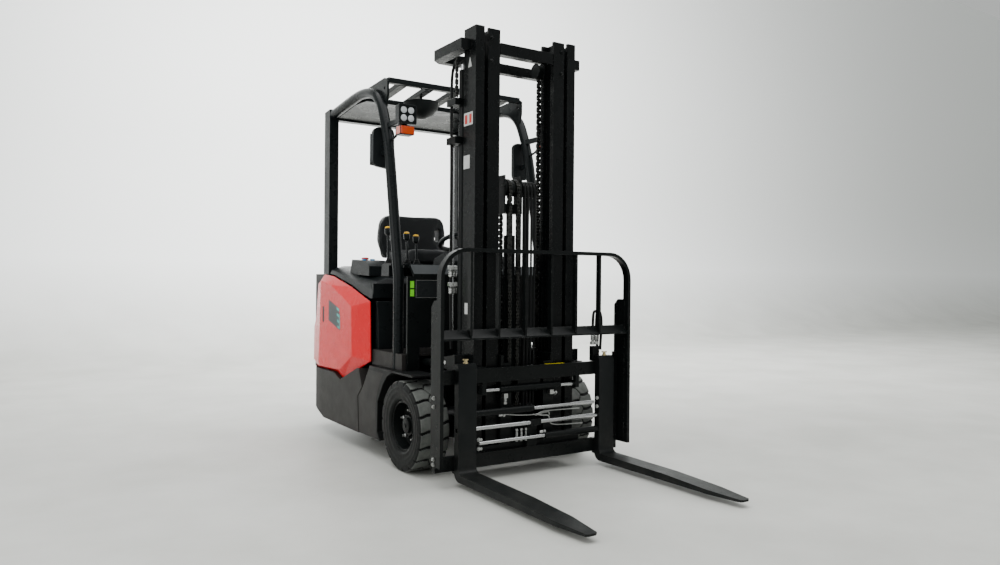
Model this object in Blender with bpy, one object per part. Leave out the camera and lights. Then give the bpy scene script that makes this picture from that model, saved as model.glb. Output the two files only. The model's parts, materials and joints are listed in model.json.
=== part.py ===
"""Compact three-wheel electric counterbalance forklift with a three-stage mast and a fork positioner.

Metres, +Z up, the floor at z = 0. The truck drives towards -Y, so its right side is at -X.
Shapes are drawn with the front axle at y = 0. The parent empty "truck" then puts the middle
of the whole length on the origin.
"""

import math

import bmesh
import bpy
from mathutils import Matrix, Vector

# Overall sizes
REAR_Y = 1.440
HALF_WIDTH = 0.530
WHEELBASE = 1.170
GAP = 0.0003

# Wheels
FRONT_TYRE_RADIUS = 0.2285
FRONT_TYRE_WIDTH = 0.168
FRONT_RIM_RADIUS = 0.128
TRACK_OUTER_X = 0.541
REAR_TYRE_RADIUS = 0.190
REAR_TYRE_WIDTH = 0.115
REAR_RIM_RADIUS = 0.105
REAR_WHEEL_X = 0.088
WHEEL_WELL_RADIUS = 0.262

# Body
FLOOR_Z = 0.580
FENDER_TOP_Z = 0.495
COWL_Y = 0.070
COWL_TOP_Z = 1.048
HOOD_FRONT_Y = 0.460
HOOD_REAR_Y = 1.130
DECK_REAR_Z = 1.000
SHELL = 0.012
PANEL_INNER_X = 0.498
PANEL_EDGE_X = 0.505
PANEL_FACE_X = 0.540
TRAY_HALF_WIDTH = 0.440
TRAY_FRONT_Y = 0.470
TRAY_REAR_Y = 0.905
TRAY_FLOOR_Z = 0.110
TRAY_TOP_Z = 0.840
BEAM_REAR_Y = TRAY_FRONT_Y + 0.010
BEAM_TOP_Z = 0.490
SIDE_BEAM_X = (0.290, 0.310)
AXLE_TUBE_RADIUS = 0.075
AXLE_CENTRE_RADIUS = 0.100
LUG_X = (0.262, 0.280)
FRONT_RIM_INNER_X = TRACK_OUTER_X - FRONT_TYRE_WIDTH + 0.016
HOOD_HINGE_Y = 1.115
STEERING_FOOT = (0.0, 0.234, 1.072)
STEERING_HUB = (0.0, 0.270, 1.180)

# Overhead guard
GUARD_X = 0.465
GUARD_TUBE_RADIUS = 0.029
LAMP_X = 0.459
LAMP_FACE_Y = 0.108
POST_FRONT_Y = 1.145
POST_REAR_Y = 1.235
GUARD_TOP_Z = 2.092
POST_HALF_WIDTH = 0.030
GUSSET_X = (0.440, 0.452)
ROOF_BAR_FRONT = (0.400, 2.060)
ROOF_BAR_REAR = (0.735, 2.024)

# Mast
MAST_HEIGHT = 2.216
MAST_FRONT_Y = -0.328
MAST_REAR_Y = -0.215
RAIL_PLATE = 0.015
RAIL_FOOT_Z = 0.070
OUTER_RAIL_X = 0.3055
OUTER_FLANGE_X = 0.2555
MIDDLE_RAIL_X = 0.233
MIDDLE_FLANGE_X = 0.165
MIDDLE_WEB_X = (0.199, 0.211)
INNER_RAIL_X = 0.1965
INNER_HEIGHT = 2.178
YOKE_HALF_WIDTH = 0.366
YOKE_Y = (-0.290, 0.030)
YOKE_Z = (2.100, 2.152)
TILT_PIVOT_Y = -0.130
TILT_PIVOT_Z = 0.220
LIFT_CYLINDER_X = 0.275
LIFT_CYLINDER_Y = -0.165
LIFT_CYLINDER_RADIUS = 0.026
LIFT_ROD_RADIUS = 0.018
TILT_CYLINDER_X = 0.350
TILT_ANCHOR = (0.400, 0.500)
TILT_EYE = (-0.175, 0.560)
TILT_PIN_RADIUS = 0.022
LIFT_ROD_TOP_Z = 2.060
FREE_LIFT_X = -0.057
FREE_LIFT_Y = -0.2595
ROLLER_WIDTH = 0.030
OUTER_ROLLER_RADIUS = 0.5 * (MAST_REAR_Y - MAST_FRONT_Y) - RAIL_PLATE - GAP
INNER_DEPTH = (MAST_FRONT_Y + RAIL_PLATE + 0.002, MAST_REAR_Y - RAIL_PLATE - 0.002)
INNER_PLATE = 0.010
CARRIAGE_ROLLER_RADIUS = 0.5 * (INNER_DEPTH[1] - INNER_DEPTH[0]) - INNER_PLATE - GAP
MAST_MID_Y = 0.5 * (MAST_FRONT_Y + MAST_REAR_Y)

# Load handling
SIDE_SHIFT_AT_REST = 0.012
BACKREST_HALF_WIDTH = 0.575
BACKREST_TOP_Z = 1.121
BACKREST_Y = (-0.467, -0.427)
CARRIAGE_BAR_Y = (-0.3817, -0.3575)
UPPER_BAR_Z = (0.477, 0.545)
LOWER_BAR_Z = (0.070, 0.138)
FORK_FACE_Y = -0.422
FORK_LENGTH = 0.920
FORK_WIDTH = 0.100
FORK_THICKNESS = 0.040
FORK_FOOT_Z = 0.023
FORK_TOP_Z = 0.576
RIGHT_FORK_X = -0.391
LEFT_FORK_X = 0.463
FORK_HOOK_REAR_Y = CARRIAGE_BAR_Y[1] - 0.006
SHIFTER_HALF_WIDTH = 0.555
SHIFT_CYLINDER_Y = -0.358
SHIFT_CYLINDER_Z = 0.433
SHIFT_BARREL_RADIUS = 0.019
SHIFT_ROD_RADIUS = 0.010
GUIDE_ROD_Y = -0.402
GUIDE_ROD_Z = 0.263
GUIDE_ROD_RADIUS = 0.011
POSITION_ROD_RADIUS = 0.009
POSITION_BARREL_RADIUS = 0.017
POSITION_BARREL_LENGTH = 0.340
POSITION_ROD_LENGTH = LEFT_FORK_X - RIGHT_FORK_X - FORK_WIDTH - POSITION_BARREL_LENGTH + 0.050

FORK_TIP_Y = FORK_FACE_Y - FORK_LENGTH
AXLE_Y = -0.5 * (REAR_Y + FORK_TIP_Y)
SIDES = {"right": -1, "left": 1}

# Finishes: base colour, roughness, metallic
BLACK_PAINT = ((0.012, 0.013, 0.014), 0.38, 0.4)
DARK_PLASTIC = ((0.018, 0.019, 0.020), 0.45, 0.0)
WARM_GREY = ((0.060, 0.055, 0.052), 0.50, 0.1)
RED_PAINT = ((0.620, 0.004, 0.018), 0.30, 0.1)
RUBBER = ((0.022, 0.022, 0.021), 0.80, 0.0)
STEEL = ((0.550, 0.550, 0.540), 0.25, 1.0)
VINYL = ((0.014, 0.015, 0.016), 0.55, 0.0)
LAMP = ((0.700, 0.720, 0.740), 0.20, 0.2)

PIVOTS = {
    "truck": (0.0, 0.0, 0.0),
    "hood": (0.0, HOOD_HINGE_Y, 1.015),
    "steering": STEERING_HUB,
    "steer_unit": (0.0, WHEELBASE, 0.420),
    "rear_wheels": (0.0, WHEELBASE, REAR_TYRE_RADIUS),
    "right_front_wheel": (-TRACK_OUTER_X + 0.5 * FRONT_TYRE_WIDTH, 0.0, FRONT_TYRE_RADIUS),
    "left_front_wheel": (TRACK_OUTER_X - 0.5 * FRONT_TYRE_WIDTH, 0.0, FRONT_TYRE_RADIUS),
    "mast": (0.0, TILT_PIVOT_Y, TILT_PIVOT_Z),
    "middle_stage": (0.0, MAST_FRONT_Y, RAIL_FOOT_Z),
    "inner_stage": (0.0, MAST_FRONT_Y, RAIL_FOOT_Z),
    "crosshead": (0.0, MAST_FRONT_Y, 1.304),
    "carriage": (0.0, MAST_FRONT_Y, LOWER_BAR_Z[0]),
    "sideshifter": (SIDE_SHIFT_AT_REST, CARRIAGE_BAR_Y[0], LOWER_BAR_Z[0]),
    "right_fork": (RIGHT_FORK_X, FORK_FACE_Y, FORK_FOOT_Z),
    "left_fork": (LEFT_FORK_X, FORK_FACE_Y, FORK_FOOT_Z),
    "tilt_barrels": (0.0, *TILT_ANCHOR),
    "tilt_rods": (0.0, *TILT_EYE),
}
PARENTS = {
    "hood": "truck",
    "steering": "truck",
    "steer_unit": "truck",
    "rear_wheels": "steer_unit",
    "right_front_wheel": "truck",
    "left_front_wheel": "truck",
    "mast": "truck",
    "middle_stage": "mast",
    "inner_stage": "middle_stage",
    "crosshead": "inner_stage",
    "carriage": "inner_stage",
    "sideshifter": "carriage",
    "right_fork": "sideshifter",
    "left_fork": "sideshifter",
    "tilt_barrels": "truck",
    "tilt_rods": "tilt_barrels",
}
EMPTIES = {}


# ---------------------------------------------------------------- scene and pieces

def clear_scene():
    for thing in list(bpy.data.objects):
        bpy.data.objects.remove(thing, do_unlink=True)


def make_pivots():
    for name, spot in PIVOTS.items():
        empty = bpy.data.objects.new("pivot_" + name, None)
        bpy.context.scene.collection.objects.link(empty)
        if name == "truck":
            empty.location = (-SIDE_SHIFT_AT_REST, AXLE_Y, 0.0)
        else:
            empty.parent = EMPTIES[PARENTS[name]]
            empty.location = Vector(spot) - Vector(PIVOTS[PARENTS[name]])
        EMPTIES[name] = empty


def finish_material(name, finish):
    colour, roughness, metallic = finish
    material = bpy.data.materials.new(name)
    material.use_nodes = True
    shader = material.node_tree.nodes["Principled BSDF"]
    shader.inputs["Base Color"].default_value = (*colour, 1.0)
    shader.inputs["Roughness"].default_value = roughness
    shader.inputs["Metallic"].default_value = metallic
    return material


def place(name, body, shape):
    """A mesh object on its body's pivot, from a bmesh drawn in the truck's own frame."""
    bmesh.ops.translate(shape, verts=shape.verts, vec=-Vector(PIVOTS[body]))
    bmesh.ops.recalc_face_normals(shape, faces=shape.faces)
    mesh = bpy.data.meshes.new(name)
    shape.to_mesh(mesh)
    shape.free()
    thing = bpy.data.objects.new(name, mesh)
    bpy.context.scene.collection.objects.link(thing)
    thing.parent = EMPTIES[body]
    return thing


def piece(name, body, finish, shape, add=(), cut=(), keep=()):
    """One node: a base shape, with shapes added to it, cut from it and intersected with it."""
    thing = place(name, body, shape)
    thing.data.materials.append(finish_material(name, finish))
    for operation, shapes in (("UNION", add), ("DIFFERENCE", cut), ("INTERSECT", keep)):
        for number, other in enumerate(shapes):
            helper = place(f"{name}_{operation.lower()}_{number}", body, other)
            helper.hide_render = True
            helper.display_type = "WIRE"
            modifier = thing.modifiers.new(f"{operation.lower()} {number}", "BOOLEAN")
            modifier.operation = operation
            modifier.object = helper
    thing.data.shade_smooth()
    thing.data.set_sharp_from_angle(angle=math.radians(35))
    return thing


# ---------------------------------------------------------------- shapes

def prism(outline, axis, low, high):
    """An outline drawn across an axis and extruded along it. Its pairs keep x, y, z order."""
    shape = bmesh.new()
    places = {"x": (1, 2, 0), "y": (0, 2, 1), "z": (0, 1, 2)}[axis]
    rings = []
    for level in (low, high):
        ring = []
        for pair in outline:
            spot = [0.0, 0.0, 0.0]
            spot[places[0]], spot[places[1]], spot[places[2]] = pair[0], pair[1], level
            ring.append(shape.verts.new(spot))
        rings.append(ring)
    join_rings(shape, rings)
    return shape


def join_rings(shape, rings):
    """Sides between each ring and the next, and a cap on both ends."""
    for lower, upper in zip(rings, rings[1:]):
        count = len(lower)
        for i in range(count):
            j = (i + 1) % count
            shape.faces.new((lower[i], lower[j], upper[j], upper[i]))
    shape.faces.new(rings[0][::-1])
    shape.faces.new(rings[-1])


def box(x, y, z):
    x, y, z = sorted(x), sorted(y), sorted(z)
    return prism([(x[0], y[0]), (x[1], y[0]), (x[1], y[1]), (x[0], y[1])], "z", z[0], z[1])


def side_box(side, x, y, z):
    return box([side * x[0], side * x[1]], y, z)


def side_prism(side, outline, low, high):
    return prism(outline, "x", side * low, side * high)


def ring_points(centre, along, radius, sides):
    """Points round an axis, starting square to it."""
    along = Vector(along).normalized()
    start = along.orthogonal().normalized()
    if abs(along.z) < 0.9:
        start = (Vector((0, 0, 1)) - along * along.z).normalized()
    across = along.cross(start)
    return [
        Vector(centre)
        + radius * (
            math.cos(2 * math.pi * i / sides) * start + math.sin(2 * math.pi * i / sides) * across
        )
        for i in range(sides)
    ]


def cylinder(start, end, radius, sides=20):
    return turned([(0.0, radius), ((Vector(end) - Vector(start)).length, radius)], start, end, sides)


def turned(profile, start, end, sides=24):
    """A closed solid turned about the line from start towards end, from (distance, radius) pairs."""
    along = (Vector(end) - Vector(start)).normalized()
    shape = bmesh.new()
    rings = []
    for distance, radius in profile:
        centre = Vector(start) + along * distance
        rings.append([shape.verts.new(p) for p in ring_points(centre, along, radius, sides)])
    join_rings(shape, rings)
    return shape


def hollow_turned(profile, start, end, sides=24):
    """As turned, but the profile is a closed loop clear of the axis, so the solid is a ring."""
    along = (Vector(end) - Vector(start)).normalized()
    shape = bmesh.new()
    rings = []
    for distance, radius in profile:
        centre = Vector(start) + along * distance
        rings.append([shape.verts.new(p) for p in ring_points(centre, along, radius, sides)])
    for lower, upper in zip(rings, rings[1:] + rings[:1]):
        for i in range(sides):
            j = (i + 1) % sides
            shape.faces.new((lower[i], lower[j], upper[j], upper[i]))
    return shape


def tube(start, end, outer, bore, sides=20):
    length = (Vector(end) - Vector(start)).length
    return hollow_turned([(0, bore), (0, outer), (length, outer), (length, bore)], start, end, sides)


def blind_tube(start, end, outer, bore, base, sides=20):
    """A barrel that is closed over its first stretch and open at its far end."""
    length = (Vector(end) - Vector(start)).length
    profile = [(0, outer), (length, outer), (length, bore), (base, bore)]
    return turned(profile, start, end, sides)


def swept(path, normal, section, closed=False):
    """A section carried along a path that lies in the plane of the given normal.

    Section pairs are (along the normal, across the path inside its plane).
    """
    normal = Vector(normal)
    path = [Vector(p) for p in path]
    shape = bmesh.new()
    rings = []
    last = len(path) - 1
    for i, spot in enumerate(path):
        before = (spot - path[i - 1]).normalized() if (i or closed) else (path[1] - spot).normalized()
        after = (path[(i + 1) % len(path)] - spot).normalized() if (i < last or closed) else before
        tangent = (before + after).normalized()
        stretch = 1.0 / max(0.5, tangent.dot(after))
        across = tangent.cross(normal).normalized()
        rings.append([shape.verts.new(spot + normal * u + across * v * stretch) for u, v in section])
    if closed:
        count = len(section)
        for lower, upper in zip(rings, rings[1:] + rings[:1]):
            for i in range(count):
                j = (i + 1) % count
                shape.faces.new((lower[i], lower[j], upper[j], upper[i]))
    else:
        join_rings(shape, rings)
    return shape


def round_section(radius, sides=12):
    return [
        (
            radius * math.cos(2 * math.pi * (i + 0.5) / sides),
            radius * math.sin(2 * math.pi * (i + 0.5) / sides)
        )
        for i in range(sides)
    ]


def flat_section(width, depth):
    return [
        (-width / 2, -depth / 2), (width / 2, -depth / 2), (width / 2, depth / 2),
        (-width / 2, depth / 2)
    ]


def smooth_path(points, steps):
    """Points on a Catmull-Rom curve through the given points."""
    points = [Vector(p) for p in points]
    ends = [2 * points[0] - points[1]] + points + [2 * points[-1] - points[-2]]
    found = []
    for a, b, c, d in zip(ends, ends[1:], ends[2:], ends[3:]):
        for i in range(steps):
            t = i / steps
            found.append(
                0.5 * (
                    2 * b + (c - a) * t + (2 * a - 5 * b + 4 * c - d) * t**2 + (3 * b - a - 3 * c + d) * t**3
                )
            )
    return found + [points[-1]]


def filleted(outline, radii, steps=5):
    """An outline of pairs whose corners are rounded; a radius of 0 leaves its corner sharp."""
    found = []
    count = len(outline)
    for i, (corner, radius) in enumerate(zip(outline, radii)):
        corner = Vector(corner)
        if not radius:
            found.append(tuple(corner))
            continue
        to_last = (Vector(outline[i - 1]) - corner).normalized()
        to_next = (Vector(outline[(i + 1) % count]) - corner).normalized()
        half = math.acos(max(-1.0, min(1.0, to_last.dot(to_next)))) / 2
        centre = corner + (to_last + to_next).normalized() * (radius / math.sin(half))
        first = corner + to_last * (radius / math.tan(half)) - centre
        final = corner + to_next * (radius / math.tan(half)) - centre
        turn = first.angle_signed(final)
        for k in range(steps + 1):
            found.append(tuple(centre + Matrix.Rotation(-turn * k / steps, 2) @ first))
    return found


def tyre_shape(centre, width, radius, bead, sides):
    """A solid tyre with rounded shoulders and a slightly drawn-in sidewall."""
    half = width / 2
    start = Vector(centre) - Vector((half, 0, 0))
    shoulder = 0.16 * width
    profile = [
        (0.10 * width, bead),
        (0.03 * width, bead + 0.25 * (radius - bead)),
        (0.0, radius - 1.6 * shoulder),
        (0.25 * shoulder, radius - 0.55 * shoulder),
        (shoulder, radius - 0.06 * shoulder),
        (0.5 * width, radius),
        (width - shoulder, radius - 0.06 * shoulder),
        (width - 0.25 * shoulder, radius - 0.55 * shoulder),
        (width, radius - 1.6 * shoulder),
        (0.97 * width, bead + 0.25 * (radius - bead)),
        (0.90 * width, bead),
    ]
    return hollow_turned(profile, start, centre, sides)


# ---------------------------------------------------------------- chassis


def front_axle():
    """Twin-motor drive axle with the lugs that carry the foot of the mast."""
    centre = (0.0, 0.0, FRONT_TYRE_RADIUS)
    profile = [
        (0.0, 0.050),
        (0.050, 0.050),
        (0.050, AXLE_TUBE_RADIUS),
        (0.230, AXLE_TUBE_RADIUS),
        (0.250, AXLE_CENTRE_RADIUS),
    ]
    half = FRONT_RIM_INNER_X + 0.030 - GAP
    mirrored = [(2 * half - distance, radius) for distance, radius in reversed(profile)]
    body = turned(profile + mirrored, (-half, 0, centre[2]), centre, 20)
    lugs = []
    holes = []
    for side in SIDES.values():
        outline = [
            (TILT_PIVOT_Y - 0.045, TILT_PIVOT_Z - 0.045),
            (0.050, FRONT_TYRE_RADIUS - 0.095),
            (0.070, FRONT_TYRE_RADIUS + 0.060),
            (TILT_PIVOT_Y - 0.020, TILT_PIVOT_Z + 0.045),
            (TILT_PIVOT_Y - 0.045, TILT_PIVOT_Z + 0.020),
        ]
        lugs.append(side_prism(side, outline, *LUG_X))
        holes.append(
            cylinder(
                (side * 0.20, TILT_PIVOT_Y, TILT_PIVOT_Z),
                (side * 0.36, TILT_PIVOT_Y, TILT_PIVOT_Z),
                TILT_PIN_RADIUS + GAP,
            )
        )
    piece("front_axle", "truck", BLACK_PAINT, body, add=lugs, cut=holes)


def chassis_frame():
    """Welded battery tray with two front beams down to the drive axle."""
    tray = box(
        [-TRAY_HALF_WIDTH, TRAY_HALF_WIDTH], [TRAY_FRONT_Y, TRAY_REAR_Y], [TRAY_FLOOR_Z, TRAY_TOP_Z]
    )
    hollow = box(
        [-TRAY_HALF_WIDTH + SHELL, TRAY_HALF_WIDTH - SHELL],
        [TRAY_FRONT_Y + SHELL, TRAY_REAR_Y - SHELL],
        [TRAY_FLOOR_Z + 0.02, TRAY_TOP_Z + 0.1],
    )
    added = []
    for side in SIDES.values():
        outline = [
            (-0.060, 0.345),
            (-0.060, 0.460),
            (0.000, BEAM_TOP_Z),
            (BEAM_REAR_Y, BEAM_TOP_Z),
            (BEAM_REAR_Y, 0.130),
            (0.140, 0.130),
            (0.120, 0.345),
        ]
        added.append(side_prism(side, outline, *SIDE_BEAM_X))
        # A saddle carries the axle tube under each beam.
        added.append(
            side_box(
                side, [SIDE_BEAM_X[0], SIDE_BEAM_X[1]], [-0.050, 0.110],
                [FRONT_TYRE_RADIUS + 0.070, 0.350]
            )
        )
        anchor = [(0.360, 0.440), (0.360, 0.530), (BEAM_REAR_Y, 0.530), (BEAM_REAR_Y, 0.400)]
        for inner in (TILT_CYLINDER_X - 0.036, TILT_CYLINDER_X + 0.024):
            added.append(side_prism(side, anchor, inner, inner + 0.012))
    added.append(box([-SIDE_BEAM_X[1], SIDE_BEAM_X[1]], [0.200, 0.215], [0.300, 0.480]))
    # The tilt anchors keep a wall behind them when the tray is made narrower.
    anchor_reach = TILT_CYLINDER_X + 0.036
    added.append(box([-anchor_reach, anchor_reach], [TRAY_FRONT_Y, BEAM_REAR_Y], [0.400, 0.530]))
    cuts = [hollow]
    cuts.append(
        cylinder(
            (-SIDE_BEAM_X[1] - 0.1, 0.0, FRONT_TYRE_RADIUS),
            (SIDE_BEAM_X[1] + 0.1, 0.0, FRONT_TYRE_RADIUS),
            AXLE_TUBE_RADIUS + GAP,
        )
    )
    cuts.append(
        cylinder(
            (-0.45, *TILT_ANCHOR),
            (0.45, *TILT_ANCHOR),
            TILT_PIN_RADIUS - 0.008 + GAP,
        )
    )
    piece("chassis_frame", "truck", BLACK_PAINT, tray, add=added, cut=cuts)


def battery():
    shape = box(
        [-TRAY_HALF_WIDTH + 0.045, TRAY_HALF_WIDTH - 0.045],
        [TRAY_FRONT_Y + 0.035, TRAY_REAR_Y - 0.035],
        [TRAY_FLOOR_Z + 0.02 + GAP, TRAY_TOP_Z - 0.035],
    )
    piece("battery", "truck", DARK_PLASTIC, shape)


# Outlines in (y, z): the split between the fender and the counterweight, and the wheel arch.
FENDER_OUTLINE = [
    (-0.120, FENDER_TOP_Z),
    (0.412, FENDER_TOP_Z),
    (0.508, 0.364),
    (0.570, 0.307),
    (0.560, 0.160),
    (0.552, 0.101),
    (0.269, 0.104),
    (0.304, 0.147),
    (0.299, 0.313),
    (0.234, 0.410),
    (0.184, 0.457),
    (0.122, 0.483),
    (-0.120, 0.483),
]
COUNTERWEIGHT_FRONT = [(0.562, 0.462), (0.516, 0.364), (0.578, 0.307), (0.568, 0.160), (0.560, 0.098)]


def fenders():
    for name, side in SIDES.items():
        skin = side_prism(side, FENDER_OUTLINE, HALF_WIDTH - 0.085, HALF_WIDTH)
        arch = side_prism(
            side,
            [
                (-0.120, 0.483),
                (-0.120, FENDER_TOP_Z),
                (0.412, FENDER_TOP_Z),
                (0.412, 0.440),
                (0.300, 0.440),
                (0.260, 0.400),
                (0.234, 0.410),
                (0.184, 0.457),
                (0.122, 0.483),
            ],
            TILT_CYLINDER_X + 0.040,
            HALF_WIDTH - 0.020,
        )
        # Bolts the fender to the frame's front beam, under the tilt cylinder.
        bracket = side_box(
            side, [SIDE_BEAM_X[1] + GAP, TILT_CYLINDER_X + 0.070], [0.320, 0.350], [0.400, 0.455]
        )
        piece(f"{name}_fender", "truck", WARM_GREY, skin, add=[arch, bracket])


def counterweight():
    """U-shaped casting: skirts beside the battery, a rear block and a well for the twin steered wheels."""
    skirt_plan = filleted(
        [(-HALF_WIDTH, 0.50), (HALF_WIDTH, 0.50), (HALF_WIDTH, REAR_Y), (-HALF_WIDTH, REAR_Y)],
        [0, 0, 0.205, 0.205],
        7,
    )
    lower = prism(skirt_plan, "z", 0.05, 0.462)
    half = PANEL_INNER_X - GAP
    block_plan = filleted(
        [(-half, TRAY_REAR_Y), (half, TRAY_REAR_Y), (half, REAR_Y), (-half, REAR_Y)],
        [0, 0, 0.082, 0.082],
        7,
    )
    upper = prism(block_plan, "z", 0.40, DECK_REAR_Z)
    side_view = COUNTERWEIGHT_FRONT + [
        (1.130, 0.098),
        (1.277, 0.146),
        (REAR_Y + 0.01, 0.230),
        (REAR_Y + 0.01, 0.800),
        (REAR_Y - 0.050, DECK_REAR_Z),
        (HOOD_REAR_Y + 0.004, DECK_REAR_Z),
        (HOOD_REAR_Y + 0.004, 0.925),
        (TRAY_REAR_Y + GAP, 0.925),
        (TRAY_REAR_Y + GAP, 0.462),
    ]
    outline = prism(side_view, "x", -0.7, 0.7)
    cuts = [
        box([-TRAY_HALF_WIDTH - GAP, TRAY_HALF_WIDTH + GAP], [0.40, TRAY_REAR_Y + GAP], [0.0, 1.2]),
        cylinder((0, WHEELBASE, 0.0), (0, WHEELBASE, 0.420), WHEEL_WELL_RADIUS, 40),
        box([-0.175, 0.175], [WHEELBASE, REAR_Y + 0.1], [0.0, 0.330]),
    ]
    # The casting steps in under each side panel, just below the panel's lower edge.
    lower_edge = [outer for outer, _ in PANEL_POINTS[-5:]]
    recess = [(y, z - 2 * GAP) for y, z in lower_edge] + [
        (0.400, 0.512), (0.400, 0.600), (1.500, 0.600), (1.500, 0.444)
    ]
    cuts += [side_prism(side, recess, PANEL_INNER_X - GAP, 0.7) for side in SIDES.values()]
    piece("counterweight", "truck", WARM_GREY, lower, add=[upper], cut=cuts, keep=[outline])


# Pairs of outer outline and raised face, both (y, z).
PANEL_POINTS = [
    ((0.470, 0.845), (0.660, 0.813)),
    ((0.749, 0.924), (0.800, 0.864)),
    ((1.032, 0.986), (0.991, 0.933)),
    ((1.190, 0.998), (1.163, 0.957)),
    ((1.306, 0.936), (1.171, 0.850)),
    ((1.341, 0.722), (1.178, 0.722)),
    ((1.378, 0.653), (1.182, 0.653)),
    ((1.383, 0.444), (1.195, 0.450)),
    ((1.295, 0.400), (1.180, 0.421)),
    ((0.961, 0.403), (0.950, 0.426)),
    ((0.851, 0.370), (0.836, 0.429)),
    ((0.457, 0.512), (0.647, 0.525)),
]


def side_panels():
    """Faceted side panels with a grip slot."""
    for name, side in SIDES.items():
        shape = bmesh.new()
        rings = []
        for x, which in ((PANEL_INNER_X, 0), (PANEL_EDGE_X, 0), (PANEL_FACE_X, 1)):
            rings.append([shape.verts.new((side * x, *pair[which])) for pair in PANEL_POINTS])
        join_rings(shape, rings)
        slot = side_box(
            side, [PANEL_FACE_X - 0.012, PANEL_FACE_X + 0.02], [1.103, 1.127], [0.700, 0.796]
        )
        piece(f"{name}_side_panel", "truck", RED_PAINT, shape, cut=[slot])


def floor_plate():
    shape = box([-0.490, 0.490], [COWL_Y + 0.016, HOOD_FRONT_Y + 0.008], [FLOOR_Z - 0.012, FLOOR_Z])
    sills = [
        side_box(
            side, [0.462, 0.490], [COWL_Y + 0.016, HOOD_FRONT_Y + 0.008], [FENDER_TOP_Z + GAP, FLOOR_Z]
        )
        for side in SIDES.values()
    ]
    legs = [
        side_box(
            side, [SIDE_BEAM_X[0], SIDE_BEAM_X[1]], [0.24, 0.34], [BEAM_TOP_Z + GAP, FLOOR_Z]
        ) for side in SIDES.values()
    ]
    feet = [
        cylinder((side * GUARD_X, pillar_points()[0][1], 0.4), (
            side * GUARD_X, pillar_points()[0][1], 0.7
        ),
                 GUARD_TUBE_RADIUS + 0.002)
        for side in SIDES.values()
    ]
    piece("floor_plate", "truck", WARM_GREY, shape, add=sills + legs, cut=feet)


def seat_skirt():
    """Moulded wall between the floor and the hood."""
    outline = [
        (HOOD_FRONT_Y - 0.035, FLOOR_Z + GAP),
        (HOOD_FRONT_Y - 0.020, 0.790),
        (HOOD_FRONT_Y + 0.001, 0.848),
        (HOOD_FRONT_Y + 0.0097, 0.848),
        (HOOD_FRONT_Y + 0.0097, FLOOR_Z + GAP),
    ]
    piece("seat_skirt", "truck", DARK_PLASTIC, prism(outline, "x", -0.470, 0.470))


def front_cowl():
    """Bent front plate under the dashboard, open where the tilt cylinders pass."""
    outline = [
        (COWL_Y, FENDER_TOP_Z + GAP),
        (COWL_Y, COWL_TOP_Z - 0.048),
        (COWL_Y + 0.045, COWL_TOP_Z),
        (0.330, COWL_TOP_Z),
        (0.330, COWL_TOP_Z - 0.015),
        (COWL_Y + 0.055, COWL_TOP_Z - 0.015),
        (COWL_Y + 0.015, COWL_TOP_Z - 0.058),
        (COWL_Y + 0.015, FENDER_TOP_Z + GAP),
    ]
    half = GUARD_X - GUARD_TUBE_RADIUS - 0.004
    shape = prism(outline, "x", -half, half)
    windows = [
        side_box(side, [TILT_CYLINDER_X - 0.045, TILT_CYLINDER_X + 0.045], [0.0, 0.12], [0.45, 0.615])
        for side in SIDES.values()
    ]
    wings = [
        side_box(
            side, [half - 0.010, 0.468], [COWL_Y, COWL_Y + 0.015], [
                FENDER_TOP_Z + GAP, COWL_TOP_Z - 0.060
            ]
        )
        for side in SIDES.values()
    ]
    piece("front_cowl", "truck", BLACK_PAINT, shape, add=wings, cut=windows)


def dashboard():
    """Instrument pod with the steering column, and the console of the hydraulic levers."""
    pod = [
        (0.130, COWL_TOP_Z + GAP), (0.130, 1.075), (0.190, 1.120), (0.305, 1.090),
        (0.325, COWL_TOP_Z + GAP)
    ]
    foot, hub = Vector(STEERING_FOOT), Vector(STEERING_HUB)
    column = cylinder(foot, hub - (hub - foot).normalized() * 0.020, 0.030, 16)
    piece("dashboard", "truck", DARK_PLASTIC, prism(pod, "x", -0.190, 0.190), add=[column])
    base = [
        (0.330 + GAP, COWL_TOP_Z - 0.060),
        (0.330 + GAP, COWL_TOP_Z + 0.010),
        (0.360, COWL_TOP_Z + 0.012),
        (0.425, COWL_TOP_Z + 0.005),
        (0.432, COWL_TOP_Z - 0.060),
    ]
    levers = []
    for i in range(4):
        x = -0.432 + 0.058 * i
        foot = Vector((x, 0.385, COWL_TOP_Z - 0.005))
        head = Vector((x, 0.398, 1.245 - 0.013 * i))
        levers.append(cylinder(foot, head, 0.006, 10))
        knob = [(0, 0.008), (0.010, 0.017), (0.034, 0.019), (0.046, 0.012)]
        levers.append(turned(knob, head - Vector((0, 0, 0.030)), head + Vector((0, 0, 0.02)), 10))
    shelf = box([-0.455, -0.235], [0.300, 0.335], [COWL_TOP_Z + GAP, COWL_TOP_Z + 0.010])
    piece("lever_console", "truck", DARK_PLASTIC, prism(base, "x", -0.455, -0.235), add=[shelf] + levers)


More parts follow.
